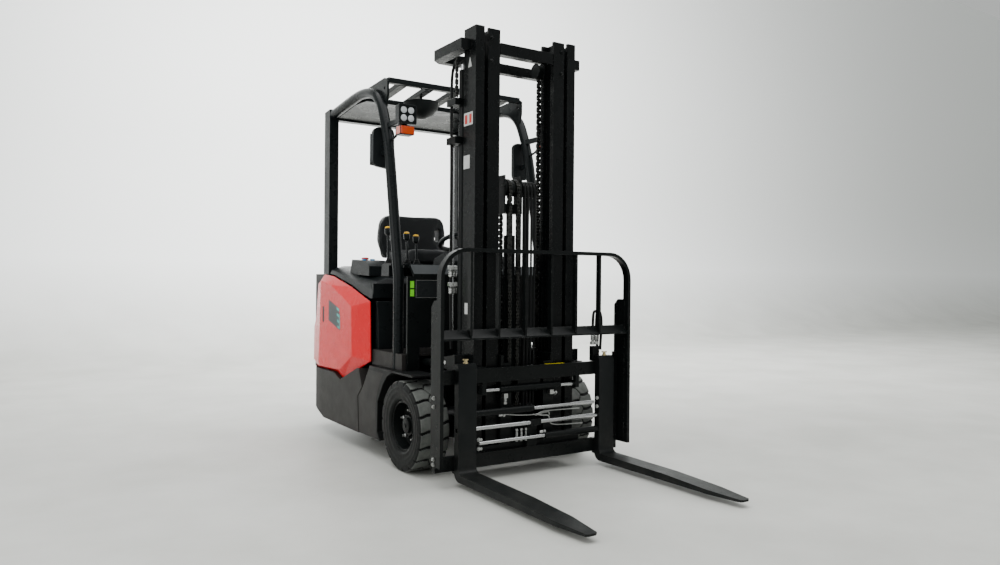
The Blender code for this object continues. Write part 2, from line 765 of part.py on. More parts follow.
def steering_wheel():
    foot, hub = Vector(STEERING_FOOT), Vector(STEERING_HUB)
    along = (hub - foot).normalized()
    rim_centre = hub + along * 0.015
    rim_radius, grip = 0.150, 0.013
    side = Vector((1, 0, 0))
    across = along.cross(side)
    outwards = [
        math.cos(math.radians(angle)) * side + math.sin(math.radians(angle)) * across
        for angle in range(0, 360, 10)
    ]
    rim = swept(
        [rim_centre + outward * rim_radius for outward in outwards], along, round_section(grip, 8),
        closed=True
    )
    spokes = [
        cylinder(
            hub + outwards[turn] * 0.012 + along * 0.002, rim_centre + outwards[turn] * rim_radius,
            0.010, 8
        )
        for turn in (9, 21, 33)
    ]
    boss = turned([(0, 0.030), (0.020, 0.042), (0.035, 0.036)], hub - along * (0.020 - GAP), hub, 16)
    knob_spot = rim_centre + (outwards[1] + outwards[2]).normalized() * rim_radius
    knob = turned([(0, 0.008), (0.015, 0.018), (0.035, 0.020), (0.045, 0.012)], knob_spot + along * 0.004,
                  knob_spot + along, 10)
    piece("steering_wheel", "steering", DARK_PLASTIC, rim, add=spokes + [boss, knob])


# ---------------------------------------------------------------- hood and seat

# y, height of the lower side edge, height of the crown
HOOD_SECTIONS = [
    (HOOD_FRONT_Y, 0.862, 0.940),
    (HOOD_FRONT_Y + 0.025, 0.864, 0.975),
    (0.595, 0.888, 0.985),
    (0.749, 0.934, 1.000),
    (0.900, 0.966, 1.022),
    (1.032, 0.994, 1.045),
    (HOOD_REAR_Y, 1.004, 1.052),
]


def hood_half(lower, crown):
    rise = crown - lower
    return [
        (0.4965, lower), (0.488, lower + 0.45 * rise), (0.455, lower + 0.80 * rise), (0.395, crown),
        (0.0, crown + 0.004)
    ]


def seat_hood():
    """Moulded shell over the battery; it lifts on its rear edge with the seat."""
    shape = bmesh.new()
    rings = []
    for y, lower, crown in HOOD_SECTIONS:
        half = hood_half(lower, crown)
        outer = [(-x, z) for x, z in half] + [(x, z) for x, z in reversed(half[:-1])]
        inner_half = [
            (x - (0.014 if x else 0), z - (0.016 if i else 0)) for i, (x, z) in enumerate(half)
        ]
        inner = [(x, z) for x, z in inner_half] + [(-x, z) for x, z in reversed(inner_half[:-1])]
        rings.append([shape.verts.new((x, y, z)) for x, z in outer + inner])
    join_rings(shape, rings)
    front = box([-0.489, 0.489], [HOOD_FRONT_Y + GAP, HOOD_FRONT_Y + 0.016], [0.866, 0.946])
    ears = [
        side_box(
            side, [0.20, 0.26], [HOOD_REAR_Y - 0.040, HOOD_REAR_Y + 0.0037], [DECK_REAR_Z - 0.015, 1.045]
        )
        for side in SIDES.values()
    ]
    seat_base = box([-0.170, 0.170], [0.560, 0.930], [0.985, 1.062])
    console = prism(
        [
            (0.600, 0.99), (0.600, 1.045), (0.660, 1.078), (0.860, 1.088), (0.890, 1.00)
        ], "x", -0.455, -0.290
    )
    arm = prism([(0.640, 0.99), (0.640, 1.045), (0.860, 1.060), (0.880, 1.00)], "x", 0.290, 0.455)
    # The shell is cut back beside the guard's rear posts, so it clears them as it lifts.
    corners = [
        side_box(
            side, [GUARD_X - 0.045, GUARD_X + 0.045], [HOOD_HINGE_Y - 0.003, HOOD_REAR_Y + 0.010],
            [0.90, 1.10]
        )
        for side in SIDES.values()
    ]
    piece(
        "seat_hood", "hood", DARK_PLASTIC, shape, add=[front, seat_base, console, arm] + ears,
        cut=corners
    )


def seat():
    cushion = filleted(
        [(-0.235, 0.505), (0.235, 0.505), (0.245, 0.925), (-0.245, 0.925)], [0.07, 0.07, 0.04, 0.04]
    )
    piece("seat_cushion", "hood", VINYL, prism(cushion, "z", 1.062 + GAP, 1.150))
    outline = filleted(
        [
            (-0.215, 1.095), (0.215, 1.095), (0.250, 1.230), (0.225, 1.392), (-0.225, 1.392),
            (-0.250, 1.230)
        ],
        [0.03, 0.03, 0, 0.08, 0.08, 0],
    )
    back = prism(outline, "y", 0.925 + GAP, 1.020)
    foot = box([-0.130, 0.130], [0.940, 1.000], [1.053, 1.12])
    grip = prism(
        filleted([(0.165, 1.215), (0.200, 1.215), (0.205, 1.310), (0.172, 1.310)], [0.016] * 4, 3), "y",
        0.9, 1.1
    )
    mirror_grip = prism(
        filleted(
            [(-0.200, 1.215), (-0.165, 1.215), (-0.172, 1.310), (-0.205, 1.310)], [0.016] * 4, 3
        ), "y", 0.9, 1.1
    )
    piece("seat_back", "hood", VINYL, back, add=[foot], cut=[grip, mirror_grip])


# ---------------------------------------------------------------- overhead guard

def pillar_points():
    """Centre line of the front pillar and the roof rail, as (x, y, z) with x = 0."""
    return [
        (0, 0.185, FENDER_TOP_Z + GAP),
        (0, 0.185, 0.980),
        (0, 0.220, 1.170),
        (0, 0.264, 1.420),
        (0, 0.313, 1.665),
        (0, 0.347, 1.775),
        (0, 0.384, 1.870),
        (0, 0.432, 1.952),
        (0, 0.512, 2.014),
        (0, 0.640, 2.046),
        (0, 0.800, 2.048),
        (0, POST_FRONT_Y + 0.030, 2.010),
    ]


def guard_tube(side, radius):
    path = [(side * GUARD_X, y, z) for _, y, z in pillar_points()]
    return swept(path[:1] + smooth_path(path[1:], 4), (1, 0, 0), round_section(radius, 12))


def guard_frames():
    for name, side in SIDES.items():
        rail = guard_tube(side, GUARD_TUBE_RADIUS)
        post = prism(
            [
                (POST_FRONT_Y, DECK_REAR_Z + GAP),
                (POST_FRONT_Y, 1.955),
                (POST_FRONT_Y, 2.043),
                (POST_REAR_Y, 2.034),
                (POST_REAR_Y, DECK_REAR_Z + GAP),
            ],
            "x",
            side * (GUARD_X - POST_HALF_WIDTH),
            side * (GUARD_X + POST_HALF_WIDTH),
        )
        gusset = side_prism(
            side,
            [
                (0.395, 1.930), (0.376, 1.990), (0.376, 2.068), (0.414, GUARD_TOP_Z),
                (0.640, GUARD_TOP_Z - 0.012), (0.640, 2.050), (0.520, 2.018), (0.440, 1.960)
            ],
            *GUSSET_X,
        )
        hole = cylinder((side * 0.40, 0.412, 2.035), (side * 0.50, 0.412, 2.035), 0.009, 16)
        piece(f"{name}_guard_frame", "truck", BLACK_PAINT, rail, add=[post, gusset], cut=[hole])


def roof():
    """Front grille bars, then a closed sheet with a stiff rear edge."""
    inside = GUSSET_X[0] - GAP
    front_bar = box([-inside, inside], [0.385, 0.420], [GUARD_TOP_Z - 0.030, GUARD_TOP_Z])
    rear_bar = box(
        [-GUARD_X + GUARD_TUBE_RADIUS + GAP, GUARD_X - GUARD_TUBE_RADIUS - GAP], [0.700, 0.740],
        [2.018, 2.046]
    )
    bars = []
    for i in range(5):
        x = -0.34 + 0.17 * i
        bars.append(
            prism(
                [
                    ROOF_BAR_FRONT, (ROOF_BAR_FRONT[0], GUARD_TOP_Z - 0.004), (ROOF_BAR_REAR[0], 2.050),
                    ROOF_BAR_REAR
                ], "x",
                x - 0.022, x + 0.022
            )
        )
    piece("roof_grille", "truck", BLACK_PAINT, front_bar, add=bars + [rear_bar])
    half = GUARD_X - max(POST_HALF_WIDTH, GUARD_TUBE_RADIUS) - GAP
    sheet = prism([
        (0.7403, 2.020), (0.7403, 2.040), (0.880, 2.045), (1.235, 2.008), (1.235, 1.988), (0.880, 2.025)
    ],
                  "x", -half, half)
    rear = box([-half, half], [1.175, POST_REAR_Y], [1.984, 2.000])
    piece("roof_panel", "truck", BLACK_PAINT, sheet, add=[rear])
    mirror_x, mirror_y = -0.170, 0.520
    slope = (ROOF_BAR_REAR[1] - ROOF_BAR_FRONT[1]) / (ROOF_BAR_REAR[0] - ROOF_BAR_FRONT[0])
    stalk_top = ROOF_BAR_FRONT[1] + slope * (mirror_y + 0.008 - ROOF_BAR_FRONT[0]) - GAP
    bowl = turned(
        [(0, 0.020), (0.022, 0.068), (0.055, 0.097), (0.098, 0.105)],
        (mirror_x, mirror_y, 1.912), (mirror_x, mirror_y, 2.010), 16
    )
    stalk = cylinder((mirror_x, mirror_y, 1.960), (mirror_x, mirror_y, stalk_top), 0.008, 8)
    piece("interior_mirror", "truck", DARK_PLASTIC, bowl, add=[stalk])


def lamps_and_mirrors():
    for name, side in SIDES.items():
        inner, outer = LAMP_X - 0.047, LAMP_X + 0.047
        lamp = side_box(side, [inner, outer], [LAMP_FACE_Y, LAMP_FACE_Y + 0.050], [1.785, 1.885])
        hood = side_box(
            side, [inner + 0.006, outer - 0.006], [
                LAMP_FACE_Y - 0.003, LAMP_FACE_Y + 0.060
            ], [1.728, 1.776]
        )
        stem = side_box(
            side, [LAMP_X - 0.010, LAMP_X + 0.010], [
                LAMP_FACE_Y + 0.025, LAMP_FACE_Y + 0.045
            ], [1.750, 1.800]
        )
        arm = side_box(
            side, [LAMP_X - 0.010, LAMP_X + 0.010], [LAMP_FACE_Y + 0.030, 0.352], [1.800, 1.830]
        )
        clamp_hole = guard_tube(side, GUARD_TUBE_RADIUS + GAP)
        piece(f"{name}_headlamp", "truck", LAMP, lamp, add=[hood, stem, arm], cut=[clamp_hole])
        glass = filleted(
            [(0.400, 1.578), (0.527, 1.596), (0.527, 1.806), (0.400, 1.816)], [0.035] * 4, 4
        )
        shell = prism([(side * x, z) for x, z in glass], "y", 0.390, 0.415)
        strut = side_box(side, [GUARD_X - 0.012, GUARD_X + 0.012], [0.310, 0.391], [1.655, 1.680])
        hole = guard_tube(side, GUARD_TUBE_RADIUS + GAP)
        piece(f"{name}_mirror", "truck", DARK_PLASTIC, shell, add=[strut], cut=[hole])


# ---------------------------------------------------------------- wheels

def front_wheels():
    for name, side in SIDES.items():
        body = f"{name}_front_wheel"
        centre = Vector(PIVOTS[body])
        tyre = tyre_shape(centre, FRONT_TYRE_WIDTH, FRONT_TYRE_RADIUS, FRONT_RIM_RADIUS, 40)
        piece(f"{name}_front_tyre", body, RUBBER, tyre)
        outer = Vector((side * (TRACK_OUTER_X - 0.020), 0, centre.z))
        inner = Vector((side * FRONT_RIM_INNER_X, 0, centre.z))
        depth = (outer - inner).length
        profile = [
            (0.0, 0.080),
            (0.0, FRONT_RIM_RADIUS - GAP),
            (depth, FRONT_RIM_RADIUS - GAP),
            (depth, FRONT_RIM_RADIUS - 0.010),
            (0.078, FRONT_RIM_RADIUS - 0.018),
            (0.070, 0.062),
            (0.105, 0.052),
            (0.105, 0.010),
            (0.030, 0.010),
            (0.030, 0.060),
        ]
        piece(f"{name}_front_rim", body, BLACK_PAINT, hollow_turned(profile, inner, outer, 40))


def rear_wheels():
    """Twin steered wheels on a turntable under the counterweight."""
    axle_z = REAR_TYRE_RADIUS
    top_z = 0.420 - GAP
    table = cylinder((0, WHEELBASE, 0.392), (0, WHEELBASE, top_z), 0.110, 28)
    arm = box([-0.0255, 0.0255], [WHEELBASE - 0.060, WHEELBASE + 0.060], [axle_z - 0.055, 0.396])
    hole = cylinder((-0.1, WHEELBASE, axle_z), (0.1, WHEELBASE, axle_z), 0.0203, 20)
    piece("steer_yoke", "steer_unit", BLACK_PAINT, table, add=[arm], cut=[hole])
    inner = 0.026 + 0.004
    width = REAR_WHEEL_X + REAR_TYRE_WIDTH / 2
    profile = [
        (0.0, 0.055),
        (0.010, REAR_RIM_RADIUS - GAP),
        (width - inner - 0.008, REAR_RIM_RADIUS - GAP),
        (width - inner - 0.008, REAR_RIM_RADIUS - 0.012),
        (0.070, REAR_RIM_RADIUS - 0.020),
        (0.065, 0.050),
        (0.085, 0.040),
    ]
    hubs = [
        turned(
            profile, (side * inner, WHEELBASE, axle_z), (side, WHEELBASE, axle_z), 32
        ) for side in SIDES.values()
    ]
    shaft = cylinder((-0.06, WHEELBASE, axle_z), (0.06, WHEELBASE, axle_z), 0.020, 20)
    piece("rear_hub", "rear_wheels", BLACK_PAINT, hubs[0], add=[hubs[1], shaft])
    for name, side in SIDES.items():
        centre = (side * REAR_WHEEL_X, WHEELBASE, axle_z)
        tyre = tyre_shape(centre, REAR_TYRE_WIDTH, REAR_TYRE_RADIUS, REAR_RIM_RADIUS, 32)
        piece(f"{name}_rear_tyre", "rear_wheels", RUBBER, tyre)


# ---------------------------------------------------------------- mast


def rail_ring(points, side):
    return [(side * x, y) for x, y in points]


def outer_mast():
    """Outer channels, with the top yoke, the foot crossbeam, the pivot ears and the tilt lugs."""
    front, rear, plate = MAST_FRONT_Y, MAST_REAR_Y, RAIL_PLATE
    section = [
        (OUTER_FLANGE_X, front),
        (OUTER_RAIL_X, front),
        (OUTER_RAIL_X, rear),
        (OUTER_FLANGE_X, rear),
        (OUTER_FLANGE_X, rear - plate),
        (OUTER_RAIL_X - plate, rear - plate),
        (OUTER_RAIL_X - plate, front + plate),
        (OUTER_FLANGE_X, front + plate),
    ]
    rails = [prism(rail_ring(section, side), "z", RAIL_FOOT_Z, MAST_HEIGHT) for side in SIDES.values()]
    added = [rails[1]]
    added.append(box([-OUTER_RAIL_X, OUTER_RAIL_X], [rear + 0.006, rear + 0.030], [0.110, 0.200]))
    beam_y = YOKE_Y[1] - 0.040
    added.append(box([-OUTER_RAIL_X, OUTER_RAIL_X], [beam_y, YOKE_Y[1]], YOKE_Z))
    cuts = []
    for side in SIDES.values():
        # The yoke's arm, drawn from above, with its rear corner cut off.
        arm = [
            (OUTER_RAIL_X - 0.001, YOKE_Y[0]),
            (YOKE_HALF_WIDTH, YOKE_Y[0]),
            (YOKE_HALF_WIDTH, beam_y),
            (YOKE_HALF_WIDTH - 0.046, YOKE_Y[1]),
            (OUTER_RAIL_X - 0.005, YOKE_Y[1]),
            (OUTER_RAIL_X - 0.005, beam_y),
            (OUTER_RAIL_X - 0.001, beam_y),
        ]
        added.append(prism([(side * x, y) for x, y in arm], "z", *YOKE_Z))
        ear = [
            (rear - 0.001, 0.110),
            (rear - 0.001, 0.290),
            (TILT_PIVOT_Y + 0.020, TILT_PIVOT_Z + 0.042),
            (TILT_PIVOT_Y + 0.045, TILT_PIVOT_Z),
            (TILT_PIVOT_Y + 0.020, TILT_PIVOT_Z - 0.042),
        ]
        added.append(side_prism(side, ear, LUG_X[0] - 0.020, LUG_X[0] - 0.006))
        pin_ends = [
            (side * (LUG_X[0] - 0.019), TILT_PIVOT_Y, TILT_PIVOT_Z),
            (side * 0.300, TILT_PIVOT_Y, TILT_PIVOT_Z)
        ]
        added.append(cylinder(*pin_ends, TILT_PIN_RADIUS, 20))
        added.append(
            side_box(side, [OUTER_FLANGE_X, OUTER_RAIL_X], [rear - 0.001, rear + 0.030], [0.110, 0.200])
        )
        # Tilt lugs: a plate out from the web and two cheeks round the rod's eye.
        for inner in (TILT_CYLINDER_X - 0.032, TILT_CYLINDER_X + 0.018):
            cheek = [
                (rear - 0.060, TILT_EYE[1] - 0.045),
                (rear - 0.060, TILT_EYE[1] + 0.045),
                (TILT_EYE[0] + 0.022, TILT_EYE[1] + 0.026),
                (TILT_EYE[0] + 0.022, TILT_EYE[1] - 0.026),
            ]
            added.append(side_prism(side, cheek, inner, inner + 0.014))
        added.append(
            side_box(side, [OUTER_RAIL_X - 0.001, TILT_CYLINDER_X + 0.032], [rear - 0.062, rear - 0.040],
                     [TILT_EYE[1] - 0.045, TILT_EYE[1] + 0.045])
        )
        # Foot shelf and top clip of the lift cylinder.
        added.append(
            side_box(side, [LIFT_CYLINDER_X - 0.040, OUTER_RAIL_X - 0.001], [
                rear - 0.001, LIFT_CYLINDER_Y + 0.030
            ],
                     [0.300, 0.318])
        )
        added.append(
            side_box(side, [LIFT_CYLINDER_X - 0.012, LIFT_CYLINDER_X + 0.012],
                     [rear - 0.001, LIFT_CYLINDER_Y - LIFT_CYLINDER_RADIUS - GAP], [1.700, 1.740])
        )
        cuts.append(
            cylinder((side * 0.2, *TILT_EYE), (side * 0.5, *TILT_EYE), 0.0143, 16)
        )
    piece("outer_mast", "mast", BLACK_PAINT, rails[0], add=added, cut=cuts)


def lift_cylinders():
    for name, side in SIDES.items():
        x, y = side * LIFT_CYLINDER_X, LIFT_CYLINDER_Y
        barrel = blind_tube(
            (x, y, 0.318 + GAP), (x, y, 2.030), LIFT_CYLINDER_RADIUS, LIFT_ROD_RADIUS + GAP, 0.040, 16
        )
        piece(f"{name}_lift_cylinder", "mast", BLACK_PAINT, barrel)
        rod = cylinder((x, y, 0.362), (x, y, LIFT_ROD_TOP_Z), LIFT_ROD_RADIUS, 16)
        piece(f"{name}_lift_rod", "middle_stage", STEEL, rod)


def middle_mast():
    front, rear, plate = MAST_FRONT_Y, MAST_REAR_Y, RAIL_PLATE
    web_in, web_out = MIDDLE_WEB_X
    section = [
        (MIDDLE_FLANGE_X, front),
        (MIDDLE_RAIL_X, front),
        (MIDDLE_RAIL_X, front + plate),
        (web_out, front + plate),
        (web_out, rear - plate),
        (MIDDLE_RAIL_X, rear - plate),
        (MIDDLE_RAIL_X, rear),
        (MIDDLE_FLANGE_X, rear),
        (MIDDLE_FLANGE_X, rear - plate),
        (web_in, rear - plate),
        (web_in, front + plate),
        (MIDDLE_FLANGE_X, front + plate),
    ]
    rails = [
        prism(rail_ring(section, side), "z", RAIL_FOOT_Z, MAST_HEIGHT - 0.004)
        for side in SIDES.values()
    ]
    added = [rails[1]]
    added.append(box([-MIDDLE_RAIL_X, MIDDLE_RAIL_X], [rear - 0.001, rear + 0.028], [2.125, 2.183]))
    added.append(box([-MIDDLE_RAIL_X, MIDDLE_RAIL_X], [rear - 0.001, rear + 0.022], [0.330, 0.390]))
    for side in SIDES.values():
        for height in (0.125, 0.420):
            added.append(
                cylinder((side * (web_out - 0.001), MAST_MID_Y, height),
                         (
                             side * (OUTER_RAIL_X - plate - 0.001), MAST_MID_Y, height
                         ), OUTER_ROLLER_RADIUS, 20)
            )
        # Rod heads bear under this shelf.
        added.append(
            side_box(side, [MIDDLE_RAIL_X - 0.02, LIFT_CYLINDER_X + 0.022], [
                rear + 0.0003, LIFT_CYLINDER_Y + 0.022
            ],
                     [LIFT_ROD_TOP_Z + GAP, 2.0745])
        )
        added.append(
            side_box(
                side, [MIDDLE_RAIL_X - 0.020, MIDDLE_RAIL_X], [rear - 0.001, rear + 0.028],
                [LIFT_ROD_TOP_Z + GAP, 2.183]
            )
        )
    piece("middle_mast", "middle_stage", BLACK_PAINT, rails[0], add=added)


def inner_mast():
    front, rear = INNER_DEPTH
    plate = INNER_PLATE
    section = [
        (MIDDLE_FLANGE_X, front),
        (INNER_RAIL_X, front),
        (INNER_RAIL_X, rear),
        (MIDDLE_FLANGE_X, rear),
        (MIDDLE_FLANGE_X, rear - plate),
        (INNER_RAIL_X - plate, rear - plate),
        (INNER_RAIL_X - plate, front + plate),
        (MIDDLE_FLANGE_X, front + plate),
    ]
    rails = [prism(rail_ring(section, side), "z", RAIL_FOOT_Z, INNER_HEIGHT) for side in SIDES.values()]
    added = [rails[1]]
    added.append(box([-0.160, 0.160], [MAST_FRONT_Y, front + 0.006], [2.092, 2.150]))
    added.append(
        box([-MIDDLE_FLANGE_X - 0.005, MIDDLE_FLANGE_X + 0.005], [front, front + 0.006], [2.092, 2.150])
    )
    added.append(
        box([-MIDDLE_FLANGE_X - 0.001, MIDDLE_FLANGE_X + 0.001], [front, rear], [RAIL_FOOT_Z, 0.120])
    )
    for side in SIDES.values():
        for low in (0.15, 1.95):
            for y in ((front - 0.0017, front + 0.001), (rear - 0.001, rear + 0.0017)):
                added.append(side_box(side, [0.170, 0.190], y, [low, low + 0.12]))
    piece("inner_mast", "inner_stage", BLACK_PAINT, rails[0], add=added)
    x, y = FREE_LIFT_X, FREE_LIFT_Y
    barrel = blind_tube((x, y, 0.120 + GAP), (x, y, 1.200), 0.030, 0.017 + GAP, 0.030, 20)
    piece("free_lift_cylinder", "inner_stage", BLACK_PAINT, barrel)


def crosshead():
    """Free-lift rod, its chain sheaves between cheek plates and the hose pulley beside them."""
    x, y = FREE_LIFT_X, FREE_LIFT_Y
    rod = cylinder((x, y, 0.155), (x, y, 1.330), 0.017, 16)
    added = [
        box([x - 0.055, x - 0.047], [y - 0.034, y + 0.034], [1.310, 1.503]),
        box([x + 0.047, x + 0.055], [y - 0.034, y + 0.034], [1.310, 1.503]),
        box([x - 0.055, x + 0.055], [y - 0.020, y + 0.020], [1.310, 1.360]),
        cylinder((x - 0.050, y, 1.440), (x + 0.050, y, 1.440), 0.040, 20),
        cylinder((x + 0.052, y, 1.440), (x + 0.150, y, 1.440), 0.014, 12),
    ]
    for i in range(5):
        added.append(
            cylinder((x + 0.060 + 0.0205 * i, y, 1.440), (x + 0.064 + 0.0205 * i, y, 1.440), 0.040, 20)
        )
    added.append(cylinder((x + 0.060, y, 1.440), (x + 0.144, y, 1.440), 0.030, 20))
    piece("crosshead", "crosshead", BLACK_PAINT, rod, add=added)


def tilt_cylinders():
    anchor, eye = Vector((0, *TILT_ANCHOR)), Vector((0, *TILT_EYE))
    along = (eye - anchor).normalized()
    length = (eye - anchor).length
    for name, side in SIDES.items():
        shift = Vector((side * TILT_CYLINDER_X, 0, 0))
        barrel = blind_tube(
            anchor + shift + along * 0.020, anchor + shift + along * 0.400, 0.0235, 0.0125 + GAP, 0.030,
            16
        )
        rear_eye = cylinder(
            anchor + shift - Vector((0.0235, 0, 0)), anchor + shift + Vector((0.0235, 0, 0)), 0.0230, 16
        )
        rear_pin = cylinder(anchor + shift - Vector((0.034, 0, 0)), anchor + shift + Vector((0.034, 0, 0)),
                            TILT_PIN_RADIUS - 0.008, 12)
        piece(f"{name}_tilt_cylinder", "tilt_barrels", BLACK_PAINT, barrel, add=[rear_eye, rear_pin])
        rod = cylinder(
            anchor + shift + along * 0.110, anchor + shift + along * (length - 0.010), 0.0125, 16
        )
        rod_eye = cylinder(
            eye + shift - Vector((0.0165, 0, 0)), eye + shift + Vector((0.0165, 0, 0)), 0.022, 16
        )
        rod_pin = cylinder(
            eye + shift - Vector((0.031, 0, 0)), eye + shift + Vector((0.031, 0, 0)), 0.0100, 12
        )
        piece(f"{name}_tilt_rod", "tilt_rods", STEEL, rod, add=[rod_eye, rod_pin])


# ---------------------------------------------------------------- load handling

def carriage():
    """Two crossbars and the roller plates that run in the inner mast."""
    y = (MAST_FRONT_Y - 0.024, MAST_FRONT_Y - 0.008)
    upper = box([-0.330, 0.330], y, [0.470, 0.540])
    lower = box([-0.330, 0.330], y, [0.090, 0.160])
    added = [lower]
    for side in SIDES.values():
        added.append(
            side_box(
                side, [0.145, 0.160], [y[0] + 0.001, INNER_DEPTH[1] - INNER_PLATE - 0.004],
                [0.130, 0.600]
            )
        )
        added.append(side_box(side, [0.100, 0.160], [y[0] + 0.001, y[1]], [0.100, 0.560]))
        for height in (0.190, 0.540):
            added.append(
                cylinder((side * 0.159, 0.5 * (INNER_DEPTH[0] + INNER_DEPTH[1]), height),
                         (
                             side * (INNER_RAIL_X - INNER_PLATE - GAP),
                             0.5 * (INNER_DEPTH[0] + INNER_DEPTH[1]), height
                         ),
                         CARRIAGE_ROLLER_RADIUS, 18)
            )
    saddle = box([-0.060, 0.080], [y[0], y[1]], [SHIFT_CYLINDER_Z, 0.471])
    bore = cylinder((-0.3, SHIFT_CYLINDER_Y, SHIFT_CYLINDER_Z), (
        0.3, SHIFT_CYLINDER_Y, SHIFT_CYLINDER_Z
    ),
                    SHIFT_BARREL_RADIUS + GAP, 16)
    piece("carriage", "carriage", BLACK_PAINT, upper, add=added + [saddle], cut=[bore])
    barrel = tube((-0.174, SHIFT_CYLINDER_Y, SHIFT_CYLINDER_Z), (
        0.195, SHIFT_CYLINDER_Y, SHIFT_CYLINDER_Z
    ),
                  SHIFT_BARREL_RADIUS, SHIFT_ROD_RADIUS + GAP, 16)
    piece("sideshift_cylinder", "carriage", BLACK_PAINT, barrel)


def sideshifter():
    """Shifting frame: two bars for the forks, end plates, a strap with the guide rod, and the shift rod."""
    offset = SIDE_SHIFT_AT_REST
    y = CARRIAGE_BAR_Y
    half = SHIFTER_HALF_WIDTH
    upper = box([offset - half, offset + half], y, UPPER_BAR_Z)
    lower = box([offset - half, offset + half], y, LOWER_BAR_Z)
    added = [lower]
    for side in SIDES.values():
        edge = offset + side * half
        added.append(box([edge, edge - side * 0.014], y, [LOWER_BAR_Z[0], 0.590]))
        # Hooks over the carriage's top bar.
        added.append(box([offset + side * 0.265, offset + side * 0.335], [y[1] - 0.001, y[1] + 0.027],
                         [UPPER_BAR_Z[1] - 0.0045, UPPER_BAR_Z[1] + 0.004]))
        # Ears that hold the ends of the shift rod.
        ear = offset + side * 0.285
        added.append(
            box([ear - 0.011, ear + 0.011], y, [SHIFT_CYLINDER_Z - 0.018, UPPER_BAR_Z[0] + 0.001])
        )
        added.append(box([ear - 0.011, ear + 0.011], [y[0], SHIFT_CYLINDER_Y + 0.017],
                         [SHIFT_CYLINDER_Z - 0.018, SHIFT_CYLINDER_Z + 0.018]))
    added.append(cylinder((offset - 0.290, SHIFT_CYLINDER_Y, SHIFT_CYLINDER_Z),
                          (offset + 0.290, SHIFT_CYLINDER_Y, SHIFT_CYLINDER_Z), SHIFT_ROD_RADIUS, 16))
    strap_z = [LOWER_BAR_Z[1] - 0.001, GUIDE_ROD_Z + 0.016]
    added.append(box([offset - 0.030, offset + 0.030], [y[0] + 0.004, y[1]], strap_z))
    added.append(
        box(
            [offset - 0.030, offset + 0.030], [GUIDE_ROD_Y - 0.012, y[1]],
            [GUIDE_ROD_Z - 0.016, GUIDE_ROD_Z + 0.016]
        )
    )
    added.append(cylinder((RIGHT_FORK_X + 0.015, GUIDE_ROD_Y, GUIDE_ROD_Z), (
        LEFT_FORK_X - 0.015, GUIDE_ROD_Y, GUIDE_ROD_Z
    ),
                          GUIDE_ROD_RADIUS, 16))
    piece("sideshifter", "sideshifter", BLACK_PAINT, upper, add=added)


def load_backrest():
    """Bent flat bar with a sloped shelf, upright bars and side plates down to the sideshifter."""
    offset, half, radius = SIDE_SHIFT_AT_REST, BACKREST_HALF_WIDTH - 0.009, 0.134
    mid_y = 0.5 * (BACKREST_Y[0] + BACKREST_Y[1])
    depth = BACKREST_Y[1] - BACKREST_Y[0]
    top = BACKREST_TOP_Z - 0.009
    path = [(offset - half, mid_y, 0.110)]
    for i in range(9):
        angle = math.pi - 0.5 * math.pi * i / 8
        path.append(
            (
                offset - half + radius + radius * math.cos(angle), mid_y,
                top - radius + radius * math.sin(angle)
            )
        )
    for i in range(9):
        angle = 0.5 * math.pi - 0.5 * math.pi * i / 8
        path.append(
            (
                offset + half - radius + radius * math.cos(angle), mid_y,
                top - radius + radius * math.sin(angle)
            )
        )
    path.append((offset + half, mid_y, 0.110))
    hoop = swept(path, (0, 1, 0), flat_section(depth, 0.018))
    shelf_outline = [(-0.425, 0.738), (-0.462, 0.700), (-0.462, 0.692), (-0.425, 0.724)]
    added = [prism(shelf_outline, "x", offset - half, offset + half)]
    for i in range(6):
        x = -0.397 + 0.1555 * i
        added.append(box([x - 0.006, x + 0.006], [mid_y - 0.014, mid_y + 0.014], [0.712, top]))
        added.append(
            prism(
                [(-0.425, 0.738), (-0.462, 0.738), (-0.462, 0.695), (-0.425, 0.725)], "x", x - 0.004,
                x + 0.004
            )
        )
    for side in SIDES.values():
        plate = [(-0.440, 0.110), (-0.440, 0.875), (-0.385, 0.875), (-0.357, 0.845), (-0.357, 0.110)]
        inner = offset + side * (SHIFTER_HALF_WIDTH + GAP)
        added.append(prism(plate, "x", *sorted((inner, inner + side * 0.010))))
    piece("load_backrest", "sideshifter", BLACK_PAINT, hoop, add=added)


